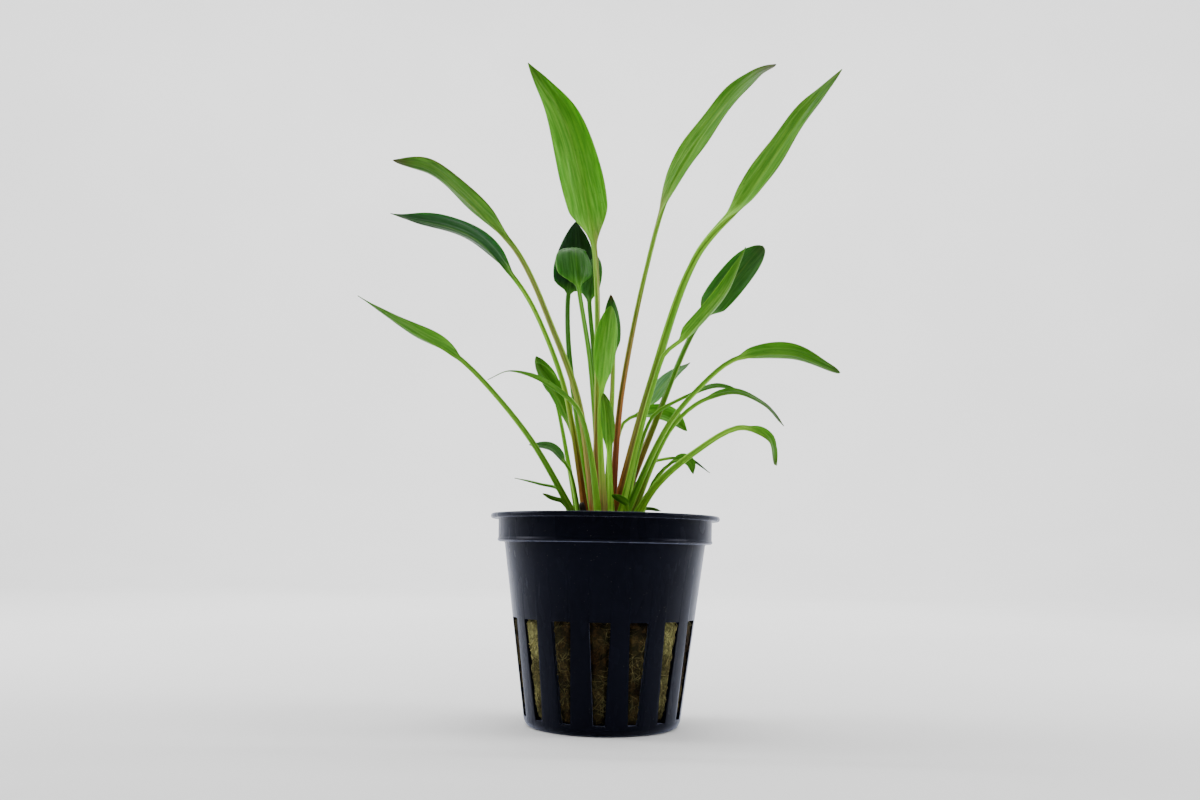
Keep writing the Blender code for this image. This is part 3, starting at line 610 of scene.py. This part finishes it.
def wool_outline():
    """The plug's section, from the middle of its top to the middle of its foot."""
    top, foot = WOOL_HIGH.z, WOOL_LOW.z
    corners = [
        (0.0, top, 0),
        (23.0 * MM, top, 1.5 * MM),
        (22.9 * MM, top - 6.2 * MM, 1.5 * MM),
        (17.3 * MM, foot + 1.8 * MM, 1.0 * MM),
        (16.0 * MM, foot, 1.0 * MM),
        (0.0, foot, 0),
    ]
    return subdivided(rounded(corners), 0.7 * MM)


def fractal(point, scale):
    """Layered noise at a point, about -1 to 1, with this many lumps to the metre."""
    return noise.fractal(point * scale, 0.9, 2.1, 3)


def slot_bulge(pot, angle, height):
    """How far the wool swells into the pot's slots at a place on its side."""
    if not pot.slot_foot < height < pot.slot_head:
        return 0.0
    turns = (angle / math.tau - pot.first_slot) * pot.slots
    away = abs(turns - round(turns)) / pot.slots * math.tau
    share = (height - pot.slot_foot) / (pot.slot_head - pot.slot_foot)
    half = (pot.slot_foot_width + (pot.slot_head_width - pot.slot_foot_width) * share) / 2
    radius = pot.base_radius + (pot.top_radius - pot.base_radius) * share
    inside = eased((half - away * radius) / SWELL_EDGE)
    return SWELL * inside * eased((height - pot.slot_foot) / MM) * eased((pot.slot_head - height) / MM)


def build_wool(wool, pot):
    """The plug's lumpy body, which swells into the pot's slots."""
    mesh = turned_mesh("rock_wool", wool_outline(), WOOL_STEPS)
    for vert in mesh.vertices:
        co = vert.co.copy()
        out = Vector((co.x, co.y, 0.0))
        if WOOL_LOW.z + MM < co.z < WOOL_HIGH.z - MM and out.length > 5 * MM:
            push = out.normalized()
        else:
            push = Vector((0.0, 0.0, 1.0 if co.z > POT_HIGH.z / 2 else 0.0))
        lump = fractal(co, 320) * 0.7 + fractal(co + Vector((1, 2, 3)), 1100) * 0.3
        swell = slot_bulge(pot, math.atan2(co.y, co.x), co.z) if out.length > 15 * MM else 0.0
        vert.co = co + push * ((lump - 0.35) * wool.lumps + swell)
    return mesh


def tube(points, radii, sides):
    """Points and faces of a thin tube along a line, closed at both ends."""
    made = []
    for i, (point, radius) in enumerate(zip(points, radii)):
        ahead = points[min(i + 1, len(points) - 1)] - points[max(i - 1, 0)]
        side = ahead.orthogonal().normalized()
        other = ahead.normalized().cross(side)
        for k in range(sides):
            a = math.tau * k / sides
            made.append(point + (side * math.cos(a) + other * math.sin(a)) * radius)
    return made, tube_faces(len(points), sides)


def joined(name, bodies):
    """One mesh from several bodies of (points, faces)."""
    points, faces = [], []
    for more, loops in bodies:
        start = len(points)
        points += more
        faces += [tuple(i + start for i in loop) for loop in loops]
    return new_mesh(name, points, faces)


def plug_radii(heights):
    """The plug's radius at each height."""
    side = [(r, z) for r, z in wool_outline() if r > 14 * MM][::-1]
    return np.interp(heights, [z for _, z in side], [r for r, _ in side])


def top_fibre(rng, angle, reach, heading, bend):
    """The line of a fibre that lies on the plug's top."""
    radius = WOOL_HIGH.x * math.sqrt(rng.random()) * 0.96
    spot = Vector((radius * math.cos(angle), radius * math.sin(angle), WOOL_HIGH.z))
    rise = rng.random() * 0.5 * MM
    line = []
    for i in range(FIBRE_STEPS):
        t = i / (FIBRE_STEPS - 1)
        spot = spot + Vector((math.cos(heading), math.sin(heading), 0)) * reach / FIBRE_STEPS
        heading += bend / FIBRE_STEPS
        lift = math.sin(t * math.pi) * rise - 0.15 * MM
        held = min(1.0, WOOL_HIGH.x * 0.985 / max(math.hypot(spot.x, spot.y), MM))
        line.append(Vector((spot.x * held, spot.y * held, WOOL_HIGH.z + lift)))
    return line


def side_fibre(rng, pot, profile, angle, reach, heading, bend):
    """The line of a fibre that lies on the plug's side; the profile is its heights and radii."""
    height = WOOL_LOW.z + (WOOL_HIGH.z - WOOL_LOW.z) * rng.random() ** 1.35
    rise = rng.random() * 0.42 * MM
    line = []
    for i in range(FIBRE_STEPS):
        t = i / (FIBRE_STEPS - 1)
        height += math.sin(heading) * reach / FIBRE_STEPS
        height = min(max(height, WOOL_LOW.z + MM / 2), WOOL_HIGH.z)
        base = float(np.interp(height, *profile))
        angle += math.cos(heading) * reach / FIBRE_STEPS / base
        heading += bend / FIBRE_STEPS
        radius = base + math.sin(t * math.pi) * rise - 0.12 * MM + slot_bulge(pot, angle, height)
        line.append(Vector((radius * math.cos(angle), radius * math.sin(angle), height)))
    return line


def build_fibres(wool, pot):
    """Loose fibres lying on the plug's side and top."""
    rng = np.random.default_rng(7)
    heights = np.linspace(WOOL_LOW.z, WOOL_HIGH.z, 60)
    profile = (heights, plug_radii(heights))
    bodies = []
    for _ in range(wool.fibres):
        on_top = rng.random() < TOP_FIBRES
        angle = rng.random() * math.tau
        reach = wool.fibre_length * (0.4 + 1.2 * rng.random())
        heading = rng.random() * math.tau
        bend = rng.normal(0, 1.1)
        if on_top:
            line = top_fibre(rng, angle, reach, heading, bend)
        else:
            line = side_fibre(rng, pot, profile, angle, reach, heading, bend)
        thick = wool.fibre_radius * (0.6 + 0.8 * rng.random())
        radii = [thick * 0.5] + [thick] * (FIBRE_STEPS - 2) + [thick * 0.5]
        bodies.append(tube(line, radii, 3))
    return joined("rock_wool_fibres", bodies)


def wool_finish(name, wool, pale):
    """Matted mineral fibre: dark stains at its foot and in patches, painted shade behind the front and side
    slots.
    """
    look = Finish(name)
    flat = look.add("VectorMath", {0: look.place, 1: (1.0, 1.0, 0.0)}, operation="MULTIPLY")
    flat = look.add("VectorMath", {0: flat}, operation="NORMALIZE")
    outward = look.add("SeparateXYZ", {"Vector": flat}, output="Y")
    height = look.add("SeparateXYZ", {"Vector": look.place}, output="Z")
    patches = look.noise(130, detail=5)
    clumps = look.span(look.noise(430, detail=5, distortion=0.8), 0.42, 0.6)
    strands = look.noise(900, detail=4, distortion=2.0)
    # Painted shade at the front of the plug, used with the flank mask below.
    front = look.span(outward, -0.74, -0.86)
    darkened = look.sum("ADD", look.span(height, 9 * MM, 1 * MM, 0.0, 0.6),
                       look.span(patches, 0.4, 0.66, 0.0, 0.7))
    # Painted shade: with the front mask, this darkens the wool behind the front slots and behind the slots
    # on both flanks, fading out just above the slots and a little less in patches.
    flank_painted_shade = look.times(look.span(outward, -0.56, -0.46), look.span(outward, 0.1, 0.3, 1.0, 0.0))
    dark = look.times(look.sum("MAXIMUM", front, flank_painted_shade),
                      look.span(height, 27 * MM, 31 * MM, 1.0, 0.0))
    least = 0.72 if pale else 0.9
    dark = look.times(dark, look.span(patches, 0.34, 0.62, 1.0, least))
    # From here the mask holds both the real stains and the painted shade; both take the same dark colour.
    darkened = look.sum("MAXIMUM", darkened, dark)
    clean = wool.fibre if pale else wool.color
    color = look.mix(look.span(strands, 0.38, 0.62), toned(clean, 0.4), clean)
    stain_and_shade = look.mix(clumps, toned(wool.stain_and_shade, 0.45), toned(wool.stain_and_shade, 2.6))
    stain_and_shade = look.tinted(stain_and_shade, look.span(strands, 0.38, 0.62, 0.5, 1.5))
    color = look.mix(darkened, color, stain_and_shade)
    rough = look.span(strands, 0.3, 0.7, 0.8, 0.95)
    look.set(Base_Color=color, Roughness=rough, Normal=look.bump(strands, 0.25 * MM, 0.8),
             Specular_IOR_Level=0.06)
    return look.material


def build_crown(name, crowns):
    """A lumpy rootstock with ringed scars, and roots that go down into the wool."""
    low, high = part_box(name)
    middle = (low + high) / 2
    radius = (high.x - low.x) / 2
    rng = np.random.default_rng(CROWN_NODES.index(name) + 20)
    outline = [
        (0.0, high.z), (radius * 0.5, high.z - 0.02 * MM), (radius * 0.85, high.z - 0.2 * MM),
        (radius, high.z - 0.8 * MM), (radius, high.z - 2.5 * MM), (radius * 0.85, high.z - 4 * MM),
        (radius * 0.5, high.z - 5.6 * MM), (0.0, low.z),
    ]
    stump = turned_mesh(name, subdivided(outline, 0.25 * MM), CROWN_STEPS)
    for vert in stump.vertices:
        co = vert.co + Vector((middle.x, middle.y, 0.0))
        scars = 0.3 * math.sin(co.z / MM * 6 + 2 * fractal(co, 200))
        lump = (fractal(co, 450) + scars - 0.6) * crowns.lumps
        out = Vector((vert.co.x, vert.co.y, 0.0))
        side = out.length / radius
        vert.co = co + out * (lump / radius) + Vector((0, 0, lump * (1 - side) * 0.8))
    bodies = [([v.co.copy() for v in stump.vertices], [tuple(p.vertices) for p in stump.polygons])]
    bpy.data.meshes.remove(stump)
    shares = [k / 8 for k in range(9)]
    for i in range(crowns.roots):
        angle = math.tau * (i + rng.random() * 0.6) / crowns.roots
        line = []
        for t in shares:
            reach = radius * (0.75 + 0.9 * math.sin(t * 2.2)) + 0.6 * MM * t
            height = high.z - (1.2 + 5.5 * t * t) * MM + 0.5 * MM * math.sin(3 * t)
            turn = angle + 0.5 * t * (rng.random() - 0.3)
            line.append(Vector((middle.x + reach * math.cos(turn), middle.y + reach * math.sin(turn),
                                height)))
        thick = crowns.root_radius * (0.7 + 0.5 * rng.random())
        bodies.append(tube(line, [thick * (1 - 0.5 * t) for t in shares], 7))
    return joined(name, bodies)


def build_stump():
    """The dark stump of an old stalk, at the left of the clump."""
    low = Vector((-4.9, -1.6, 46.6)) * MM
    high = Vector((-5.5, -2.7, 51.8)) * MM
    line = [low.lerp(high, i / 10) + Vector((0.25 * math.sin(i * 0.5), 0, 0)) * MM for i in range(11)]
    radii = [0.75, 0.72, 0.7, 0.68, 0.66, 0.66, 0.68, 0.72, 0.74, 0.66, 0.42]
    points, faces = tube(line, [r * MM for r in radii], 16)
    ragged = [p + Vector((0, 0, fractal(p, 1500) * 0.22 * MM)) for p in points]
    return joined("old_stump", [(ragged, faces)])


def crown_finish(name, skin, root):
    """Knobbly skin, with the paler colour of the roots in patches."""
    look = Finish(name)
    patches = look.noise(420, detail=5)
    grain = look.noise(1800, detail=3, stretch=(1, 1, 0.4))
    color = look.mix(look.span(patches, 0.35, 0.7), skin, root)
    color = look.mix(look.span(grain, 0.4, 0.7, 0.0, 0.5), color, toned(skin, 0.3))
    rough = look.span(patches, 0.3, 0.7, 0.55, 0.8)
    look.set(Base_Color=color, Roughness=rough, Normal=look.bump(grain, 0.12 * MM, 0.7))
    return look.material


def smooth_route(points, per_span=24):
    """A smooth line through the points, as closely spaced samples."""
    ends = [points[0] * 2 - points[1]] + points + [points[-1] * 2 - points[-2]]
    line = []
    for i in range(1, len(ends) - 2):
        a, b, c, d = ends[i - 1:i + 3]
        near = (c - a) * ((b - c).length / max((a - b).length + (b - c).length, 1e-9))
        far = (d - b) * ((b - c).length / max((b - c).length + (c - d).length, 1e-9))
        for k in range(per_span):
            t = k / per_span
            line.append(b * (2 * t ** 3 - 3 * t ** 2 + 1) + near * (t ** 3 - 2 * t ** 2 + t)
                        + c * (3 * t ** 2 - 2 * t ** 3) + far * (t ** 3 - t ** 2))
    line.append(points[-1])
    return line


def along(line, goals):
    """The point and direction on the line at each distance from its start."""
    reach = [0.0]
    for a, b in zip(line, line[1:]):
        reach.append(reach[-1] + (b - a).length)
    places = []
    k = 0
    for goal in goals:
        while k < len(line) - 2 and reach[k + 1] < goal:
            k += 1
        share = (goal - reach[k]) / (reach[k + 1] - reach[k])
        point = line[k].lerp(line[k + 1], min(share, 1.0))
        before = line[max(k - 2, 0)]
        after = line[min(k + 3, len(line) - 1)]
        places.append((point, (after - before).normalized()))
    return places


def eased(value):
    """A smooth step from 0 to 1."""
    t = min(1.0, max(0.0, value))
    return t * t * (3 - 2 * t)


def blade_share(u, leaf):
    """A blade's share of its full width, from its foot at 0 to its tip at 1."""
    if u <= 0.0 or u >= 1.0:
        return 0.0
    rise = leaf.fall * leaf.widest / (1 - leaf.widest)
    full = (u / leaf.widest) ** rise * ((1 - u) / (1 - leaf.widest)) ** leaf.fall
    return full * eased(u / leaf.shoulder)


class LeafShape:
    """One leaf's measures along its length, and the section at each place."""

    def __init__(self, leaf, settings, seed):
        self.leaf = leaf
        self.settings = settings
        self.seed = seed
        self.colors = {name: np.array(getattr(settings, name)) for name in LeafSettings.__annotations__
                       if name not in ("thickness", "vein")}
        root = Vector((*leaf.foot, STALK_ROOT)) * MM
        first = Vector((*leaf.foot, STALK_FOOT)) * MM
        points = [first] + [Vector(place) * MM for place in leaf.route]
        self.line = [root] + smooth_route(points)
        self.total = sum((b - a).length for a, b in zip(self.line, self.line[1:]))
        self.blade = leaf.blade * MM
        self.stalk = self.total - self.blade
        spread = points[-1] - points[0]
        heading = Vector((spread.x, spread.y, 0.0)).normalized()
        self.sideways = Vector((-heading.y, heading.x, 0.0))
        self.turn = math.radians(leaf.turn) * (1 if heading.x > 0 else -1)
        # Points across the leaf, first over its upper side and then back under it
        count = 29 if leaf.width > 7 else 23
        top = np.linspace(-1.0, 1.0, count)
        self.across = np.concatenate([top, top[-2:0:-1]])
        self.face = np.concatenate([np.ones(count), -np.ones(count - 2)])
        self.face[[0, count - 1]] = 0.0

    def goals(self):
        """Distances along the leaf where its rings stand."""
        stalk_rings = max(6, round(self.stalk / STALK_STEP))
        stalk = np.linspace(0.0, self.stalk, stalk_rings, endpoint=False)
        steps = np.linspace(0.0, 1.0, max(24, round(self.blade / BLADE_STEP)))
        blade = self.stalk + self.blade * (1 - (1 - steps) ** 1.3)
        return np.concatenate([stalk, blade])

    def share(self, reach):
        """Where a distance lies on the blade: 0 at its foot, 1 at its tip, below 0 on the stalk."""
        return (reach - self.stalk) / self.blade

    def section(self, reach):
        """Offsets across and up of the ring at a distance, and its half width."""
        leaf, s, face = self.leaf, self.across, self.face
        u = self.share(reach)
        low = max(0.0, 1.0 - reach / self.stalk)
        thin = leaf.stalk * MM / 2 * (1.0 - 0.25 * reach / self.total) * (1.0 + STALK_FLARE * low ** 1.5)
        sheath = math.exp(-reach / SHEATH)
        stem = thin * (1 - eased(u)) + 0.1 * MM
        half = stem * (1 + 0.4 * sheath) + (leaf.width * MM / 2 - stem) * blade_share(u, leaf)
        flat = eased((half / thin - 1.0) / 2.2) if u > 0 else 0.0
        side = np.sin(s * math.pi / 2) * (1 - flat) + s * flat
        channel = 1 - 0.4 * np.exp(-(s / 0.38) ** 2) * (face > 0)
        stalk_height = face * np.cos(s * math.pi / 2) * channel * stem * (1 + 0.1 * sheath)
        sheet = self.settings.thickness / 2
        rib = thin * 0.95 * (1 - min(max(u, 0.0), 1.0)) ** 1.1 + 0.05 * MM
        rib_share = max(rib * 1.25 / half, 0.04)
        ridge = np.exp(-(s / rib_share) ** 2)
        height = face * sheet * np.sqrt(np.clip(1.02 - s ** 2, 0.0, 1.0))
        height = height - np.where(face < 0, rib * 1.25 * ridge, rib * 0.45 * ridge)
        bend = leaf.dress.fold * half * (s ** 2 - 0.35)
        veins = sum(np.exp(-((np.abs(s) - v) / VEIN_WIDTH) ** 2) for v in VEIN_PLACES)
        bend = bend - self.settings.vein * veins * eased(u * 5) * eased((1 - u) * 4)
        mm_along = (reach - self.stalk) / MM
        swell = eased(u * 4) * eased((1 - u) * 5)
        furrow = [noise.noise(Vector((x * 3.2, mm_along / 16, self.seed * 3.7))) for x in s]
        bend = bend + np.array(furrow) * leaf.dress.furrow * MM * swell * 1.6
        waves = np.sin(mm_along / 3.1 + self.seed + np.where(s > 0, 0.0, 2.0)) * np.abs(s) ** 3
        bend = bend + waves * leaf.dress.wave * MM * swell
        return side * half, stalk_height * (1 - flat) + (height + bend) * flat, half

    def rings(self):
        """Points of every ring, with each ring's distance and half width."""
        goals = self.goals()
        made = []
        for reach, (point, direction) in zip(goals, along(self.line, goals)):
            across = self.sideways - direction * self.sideways.dot(direction)
            across.normalize()
            turned = min(1.0, max(0.0, self.share(reach) * 2 + 0.6))
            across.rotate(Matrix.Rotation(self.turn * turned, 3, direction))
            up = direction.cross(across)
            side, height, half = self.section(reach)
            ring = np.array(point) + np.outer(side, across) + np.outer(height, up)
            made.append((reach, half, ring))
        return made


def blend(a, b, share):
    """Mixes colours by one share, or by one share for each point."""
    share = np.asarray(share)[..., None]
    return a * (1 - share) + b * share


def stalk_tints(shape, reach):
    """Colours round a stalk: two that share its sides and change from its foot to the blade."""
    colors, dress = shape.colors, shape.leaf.dress
    pace = RED_PACE if dress.foot == "red" else STALK_PACE
    rise = eased(reach / shape.stalk * pace - 0.1)
    near = blend(colors[dress.foot], colors[dress.top], rise)
    far = blend(colors[STALK_SIDES[dress.foot]], colors[STALK_SIDES[dress.top]], rise)
    around = math.pi / 2 * (1 - shape.across) * np.where(shape.face < 0, -1.0, 1.0)
    lean = shape.seed * 2.4 + 0.8 * math.sin(reach / MM / 11 + shape.seed)
    ring = blend(near, far, np.clip(0.3 + 0.75 * np.cos(around - lean), 0.0, 0.75))
    ring = blend(ring, colors["pale"], 0.25 * math.exp(-reach / (3.5 * MM)))
    # Darker along the stalk's two side edges.
    ridge = np.exp(-((1 - np.abs(shape.across)) / 0.14) ** 2)
    return ring * (1 - 0.45 * ridge)[:, None]


def leaf_tints(shape, reach):
    """Colours round one ring of a leaf."""
    colors, dress = shape.colors, shape.leaf.dress
    s, face = np.abs(shape.across), shape.face
    u = shape.share(reach)
    out = max(u, 0.0)
    opening = 0.12 + 0.5 * shape.leaf.shoulder
    stem = stalk_tints(shape, reach)
    # Paler and bluer on the underside and towards the foot; painted sheen on the half of each blade where
    # across is above 0, and painted shade on the other half.
    tone_shift = np.where(face < 0, 0.25, 0.0) + 0.5 * (1 - out) ** 2 + np.clip(1.8 * shape.across, -0.5, 0.9)
    blade = colors[dress.blade] * (1 + tone_shift[:, None] * np.array((0.27, 0.12, 0.6)))
    blade = blade * (1.12 - 0.5 * out ** 1.2)
    midrib = np.exp(-(s / 0.05) ** 2) * (1 - out) * 0.5
    blade = blend(blade, stem, np.clip(midrib, 0, 1))
    ring = blend(stem, blade, eased(u / opening))
    edge = np.clip((s - 0.88) / 0.1, 0, 1) * dress.margin * (0.5 + 0.5 * out) * eased(u * 8)
    ring = blend(ring, colors["margin"], edge)
    return blend(ring, colors["tip"], eased((u - 0.84) / 0.16) * dress.tip)


def build_leaf(leaf, settings, seed):
    """One leaf, from its sheathed foot in the rootstock to its tip."""
    shape = LeafShape(leaf, settings, seed)
    rings = shape.rings()
    points = np.concatenate([ring for _, _, ring in rings])
    faces = tube_faces(len(rings), len(shape.across))
    mesh = new_mesh(leaf.name, [tuple(p) for p in points], faces)
    tints = np.concatenate([leaf_tints(shape, reach) for reach, _, _ in rings])
    tints = np.concatenate([tints, np.ones((len(tints), 1))], axis=1)
    tint = mesh.color_attributes.new("tint", "FLOAT_COLOR", "POINT")
    tint.data.foreach_set("color", tints.astype(np.float32).ravel())
    tissue, spot = [], []
    for reach, half, _ in rings:
        mm_along = (reach - shape.stalk) / MM
        for s, face in zip(shape.across, shape.face):
            tissue.append((s * half / MM, mm_along, seed * 11.0 + (3.0 if face < 0 else 0.0)))
            spot.append((s, shape.share(reach), 0.0))
    for name, values in (("tissue", tissue), ("spot", spot)):
        attribute = mesh.attributes.new(name, "FLOAT_VECTOR", "POINT")
        attribute.data.foreach_set("vector", np.array(values, np.float32).ravel())
    bm = bmesh.new()
    bm.from_mesh(mesh)
    bmesh.ops.recalc_face_normals(bm, faces=bm.faces)
    bm.to_mesh(mesh)
    bm.free()
    return mesh


def leaf_finish(name, rough):
    """Living leaf: streaked tissue, a wax bloom, side veins, a fine net and dark flecks."""
    look = Finish(name)
    tint = look.add("Attribute", output="Color", attribute_name="tint")
    tissue = look.add("Attribute", output="Vector", attribute_name="tissue")
    spot = look.add("Attribute", output="Vector", attribute_name="spot")
    across, share, _ = look.add("SeparateXYZ", {"Vector": spot}).node.outputs
    on_blade = look.span(share, 0.0, 0.12)

    def streaky(detail, wide, long):
        return look.noise(1.0, detail=detail, vector=tissue, stretch=(wide, long, 1))

    streaks = streaky(4, 1.9, 0.11)
    lines = streaky(3, 3.6, 0.035)
    bloom = streaky(3, 0.42, 0.035)
    mottle = streaky(3, 0.35, 0.12)
    net = look.span(look.cells(tissue, (1.5, 0.62, 1)), 0.0, 0.12, 1.0, 0.0)
    flecks = look.span(streaky(1, 1.7, 1.1), 0.7, 0.76)
    away = look.sum("ABSOLUTE", across)
    veins = [look.span(look.sum("ABSOLUTE", look.sum("SUBTRACT", away, place)), 0.0, VEIN_WIDTH, 1.0, 0.0)
             for place in VEIN_PLACES]
    veins = look.times(look.sum("MAXIMUM", *veins), on_blade)
    light = look.tinted(tint, (1.35, 1.18, 1.3))
    shade = look.tinted(tint, (0.55, 0.7, 0.55))
    grain = look.add("Mix", {0: on_blade, 2: lines, 3: streaks})
    color = look.mix(look.span(grain, 0.34, 0.66), shade, light)
    tone_shift = look.times(look.span(bloom, 0.46, 0.62, 0.0, 0.85), on_blade)
    color = look.mix(tone_shift, color, look.tinted(color, (1.28, 1.13, 1.75)))
    color = look.mix(look.span(mottle, 0.3, 0.72, 0.0, 0.4), color, tint)
    color = look.mix(look.times(veins, 0.5), color, shade)
    color = look.mix(look.times(look.times(net, on_blade), 0.14), color, shade)
    color = look.mix(look.times(look.times(flecks, on_blade), 0.55), color,
                     look.tinted(tint, (0.45, 0.45, 0.5)))
    dull = look.span(mottle, 0.3, 0.7, rough, rough + 0.14)
    normal = look.bump(streaks, 0.09 * MM, 0.55)
    normal = look.bump(net, 0.03 * MM, 0.35, normal)
    look.set(Base_Color=color, Roughness=dull, Normal=normal, Specular_IOR_Level=0.09,
             Specular_Tint=(0.85, 1.0, 0.7, 1.0), Subsurface_Weight=0.15,
             Subsurface_Radius=(0.35, 0.9, 0.12), Subsurface_Scale=0.9 * MM)
    return look.material


def build_backdrop():
    """A round floor that curves up into a wall on all sides."""
    reach, bend, wall = 1.5, 0.6, 1.7
    line = [(0.0, 0.0), (0.3, 0.0)]
    for i in range(25):
        a = math.pi / 2 * i / 24
        line.append((reach - bend + bend * math.sin(a), bend - bend * math.cos(a)))
    line.append((reach, wall))
    return turned_mesh("backdrop", line, 96, closed=False)


def add_lamp(name, place, aim, width, height, power):
    """A soft rectangular lamp that faces a point."""
    data = bpy.data.lights.new(name, "AREA")
    data.shape = "RECTANGLE"
    data.size = width
    data.size_y = height
    data.energy = power
    lamp = add_object(name, data)
    lamp.location = place
    lamp.rotation_euler = (Vector(aim) - Vector(place)).to_track_quat("-Z", "Y").to_euler()
    lamp.visible_camera = False


def add_camera(stage):
    """The camera, in front of the pot and looking a little up."""
    data = bpy.data.cameras.new("camera")
    data.sensor_width = 36.0
    data.lens = stage.lens / MM
    data.clip_start = 0.01
    camera = add_object("camera", data)
    place = Vector((stage.camera_side, -stage.camera_distance, stage.camera_height))
    pitch = Matrix.Rotation(math.pi / 2 + stage.camera_pitch, 4, "X")
    camera.matrix_world = Matrix.Translation(place) @ pitch @ Matrix.Rotation(stage.camera_roll, 4, "Z")
    bpy.context.scene.camera = camera


class CRYPTOCORYNE_OT_net_pot(bpy.types.Operator):
    """Build the moulded net pot"""
    bl_idname = "cryptocoryne.net_pot"
    bl_label = "Net Pot"

    def execute(self, context):
        pot = context.scene.cryptocoryne.pot
        add_piece("pot", build_pot(pot), pot_finish(pot), "pot_plastic", "net_pot")
        return {"FINISHED"}


class CRYPTOCORYNE_OT_rock_wool(bpy.types.Operator):
    """Build the rock wool plug and its loose fibres"""
    bl_idname = "cryptocoryne.rock_wool"
    bl_label = "Rock Wool"

    def execute(self, context):
        wool = context.scene.cryptocoryne.wool
        pot = context.scene.cryptocoryne.pot
        add_piece("wool", build_wool(wool, pot), wool_finish("rock_wool", wool, False), "rock_wool",
                  "rock_wool")
        add_piece("wool_fibres", build_fibres(wool, pot), wool_finish("wool_fibre", wool, True),
                  "rock_wool")
        return {"FINISHED"}


class CRYPTOCORYNE_OT_crowns(bpy.types.Operator):
    """Build the rootstocks with their roots, and the stump of an old stalk"""
    bl_idname = "cryptocoryne.crowns"
    bl_label = "Rootstocks"

    def execute(self, context):
        crowns = context.scene.cryptocoryne.crowns
        finish = crown_finish("crown", crowns.color, crowns.root)
        for name in CROWN_NODES:
            add_piece(name.replace("crown", "rootstock"), build_crown(name, crowns), finish, "crown", name)
        dead = crown_finish("dead_stalk", crowns.dead, toned(crowns.dead, 1.8))
        add_piece("old_stump", build_stump(), dead, "crown")
        return {"FINISHED"}


class CRYPTOCORYNE_OT_leaves(bpy.types.Operator):
    """Build all the leaves of the clump"""
    bl_idname = "cryptocoryne.leaves"
    bl_label = "Leaves"

    def execute(self, context):
        settings = context.scene.cryptocoryne.leaves
        finishes = {"leaf_green": leaf_finish("leaf_green", 0.36),
                    "leaf_dark": leaf_finish("leaf_dark", 0.3)}
        for seed, leaf in enumerate(LEAVES):
            slot = "leaf_dark" if leaf.name in DARK_LEAVES else "leaf_green"
            mesh = build_leaf(leaf, settings, seed)
            add_piece(leaf.name.replace("leaf_", "blade_"), mesh, finishes[slot], slot, leaf.name)
        return {"FINISHED"}


class CRYPTOCORYNE_OT_stage(bpy.types.Operator):
    """Build the floor, the lights and the camera"""
    bl_idname = "cryptocoryne.stage"
    bl_label = "Stage"

    def execute(self, context):
        stage = context.scene.cryptocoryne.stage
        look = Finish("backdrop")
        tone = look.span(look.noise(6, detail=2), 0.3, 0.7, 0.97, 1.0)
        grey = look.add("CombineColor", {"Red": tone, "Green": tone, "Blue": tone})
        look.set(Base_Color=look.tinted(stage.floor_color, grey), Roughness=0.9)
        backdrop = add_object("backdrop", build_backdrop())
        backdrop.data.materials.append(look.material)
        middle = (0.0, 0.0, POT_HIGH.z)
        add_lamp("side_lamp_left", (-0.5, 0.06, 0.34), middle, 0.24, 0.3, stage.side_power)
        add_lamp("side_lamp_right", (0.5, -0.02, 0.34), middle, 0.24, 0.3, stage.side_power * 0.85)
        add_lamp("top_lamp", (0.0, -0.12, 0.64), (0.0, 0.0, 0.09), 0.5, 0.4, stage.top_power)
        add_lamp("back_lamp", (0.0, 0.3, 1.0), (0.0, 1.5, 0.3), 1.2, 0.3, stage.back_power)
        add_lamp("front_lamp", (0.0, -0.3, 1.0), (0.0, -1.5, 0.3), 1.2, 0.3, stage.front_power)
        world = bpy.data.worlds.new("studio")
        world.use_nodes = True
        sky = world.node_tree.nodes["Background"].inputs
        sky["Color"].default_value = (0.95, 0.97, 1.0, 1.0)
        sky["Strength"].default_value = stage.sky
        context.scene.world = world
        add_camera(stage)
        return {"FINISHED"}


class CRYPTOCORYNE_PT_sidebar(bpy.types.Panel):
    """The add-on's buttons and settings"""
    bl_label = "Potted Cryptocoryne"
    bl_space_type = "VIEW_3D"
    bl_region_type = "UI"
    bl_category = "Cryptocoryne"

    def draw(self, context):
        settings = context.scene.cryptocoryne
        for operator, group in ((CRYPTOCORYNE_OT_net_pot, settings.pot),
                                (CRYPTOCORYNE_OT_rock_wool, settings.wool),
                                (CRYPTOCORYNE_OT_crowns, settings.crowns),
                                (CRYPTOCORYNE_OT_leaves, settings.leaves),
                                (CRYPTOCORYNE_OT_stage, settings.stage)):
            box = self.layout.box()
            box.operator(operator.bl_idname)
            for name in group.__annotations__:
                box.prop(group, name)


CLASSES = (NetPotSettings, RockWoolSettings, CrownSettings, LeafSettings, StageSettings, PlantSettings,
           CRYPTOCORYNE_OT_net_pot, CRYPTOCORYNE_OT_rock_wool, CRYPTOCORYNE_OT_crowns,
           CRYPTOCORYNE_OT_leaves, CRYPTOCORYNE_OT_stage, CRYPTOCORYNE_PT_sidebar)


def register():
    """Adds the classes and the scene's settings."""
    for item in CLASSES:
        bpy.utils.register_class(item)
    bpy.types.Scene.cryptocoryne = PointerProperty(type=PlantSettings)


def unregister():
    """Takes the classes and the settings away again."""
    del bpy.types.Scene.cryptocoryne
    for item in reversed(CLASSES):
        bpy.utils.unregister_class(item)


def main():
    """Builds every piece and the stage."""
    register()
    bpy.ops.cryptocoryne.net_pot()
    bpy.ops.cryptocoryne.rock_wool()
    bpy.ops.cryptocoryne.crowns()
    bpy.ops.cryptocoryne.leaves()
    bpy.ops.cryptocoryne.stage()


if __name__ == "__main__":
    main()
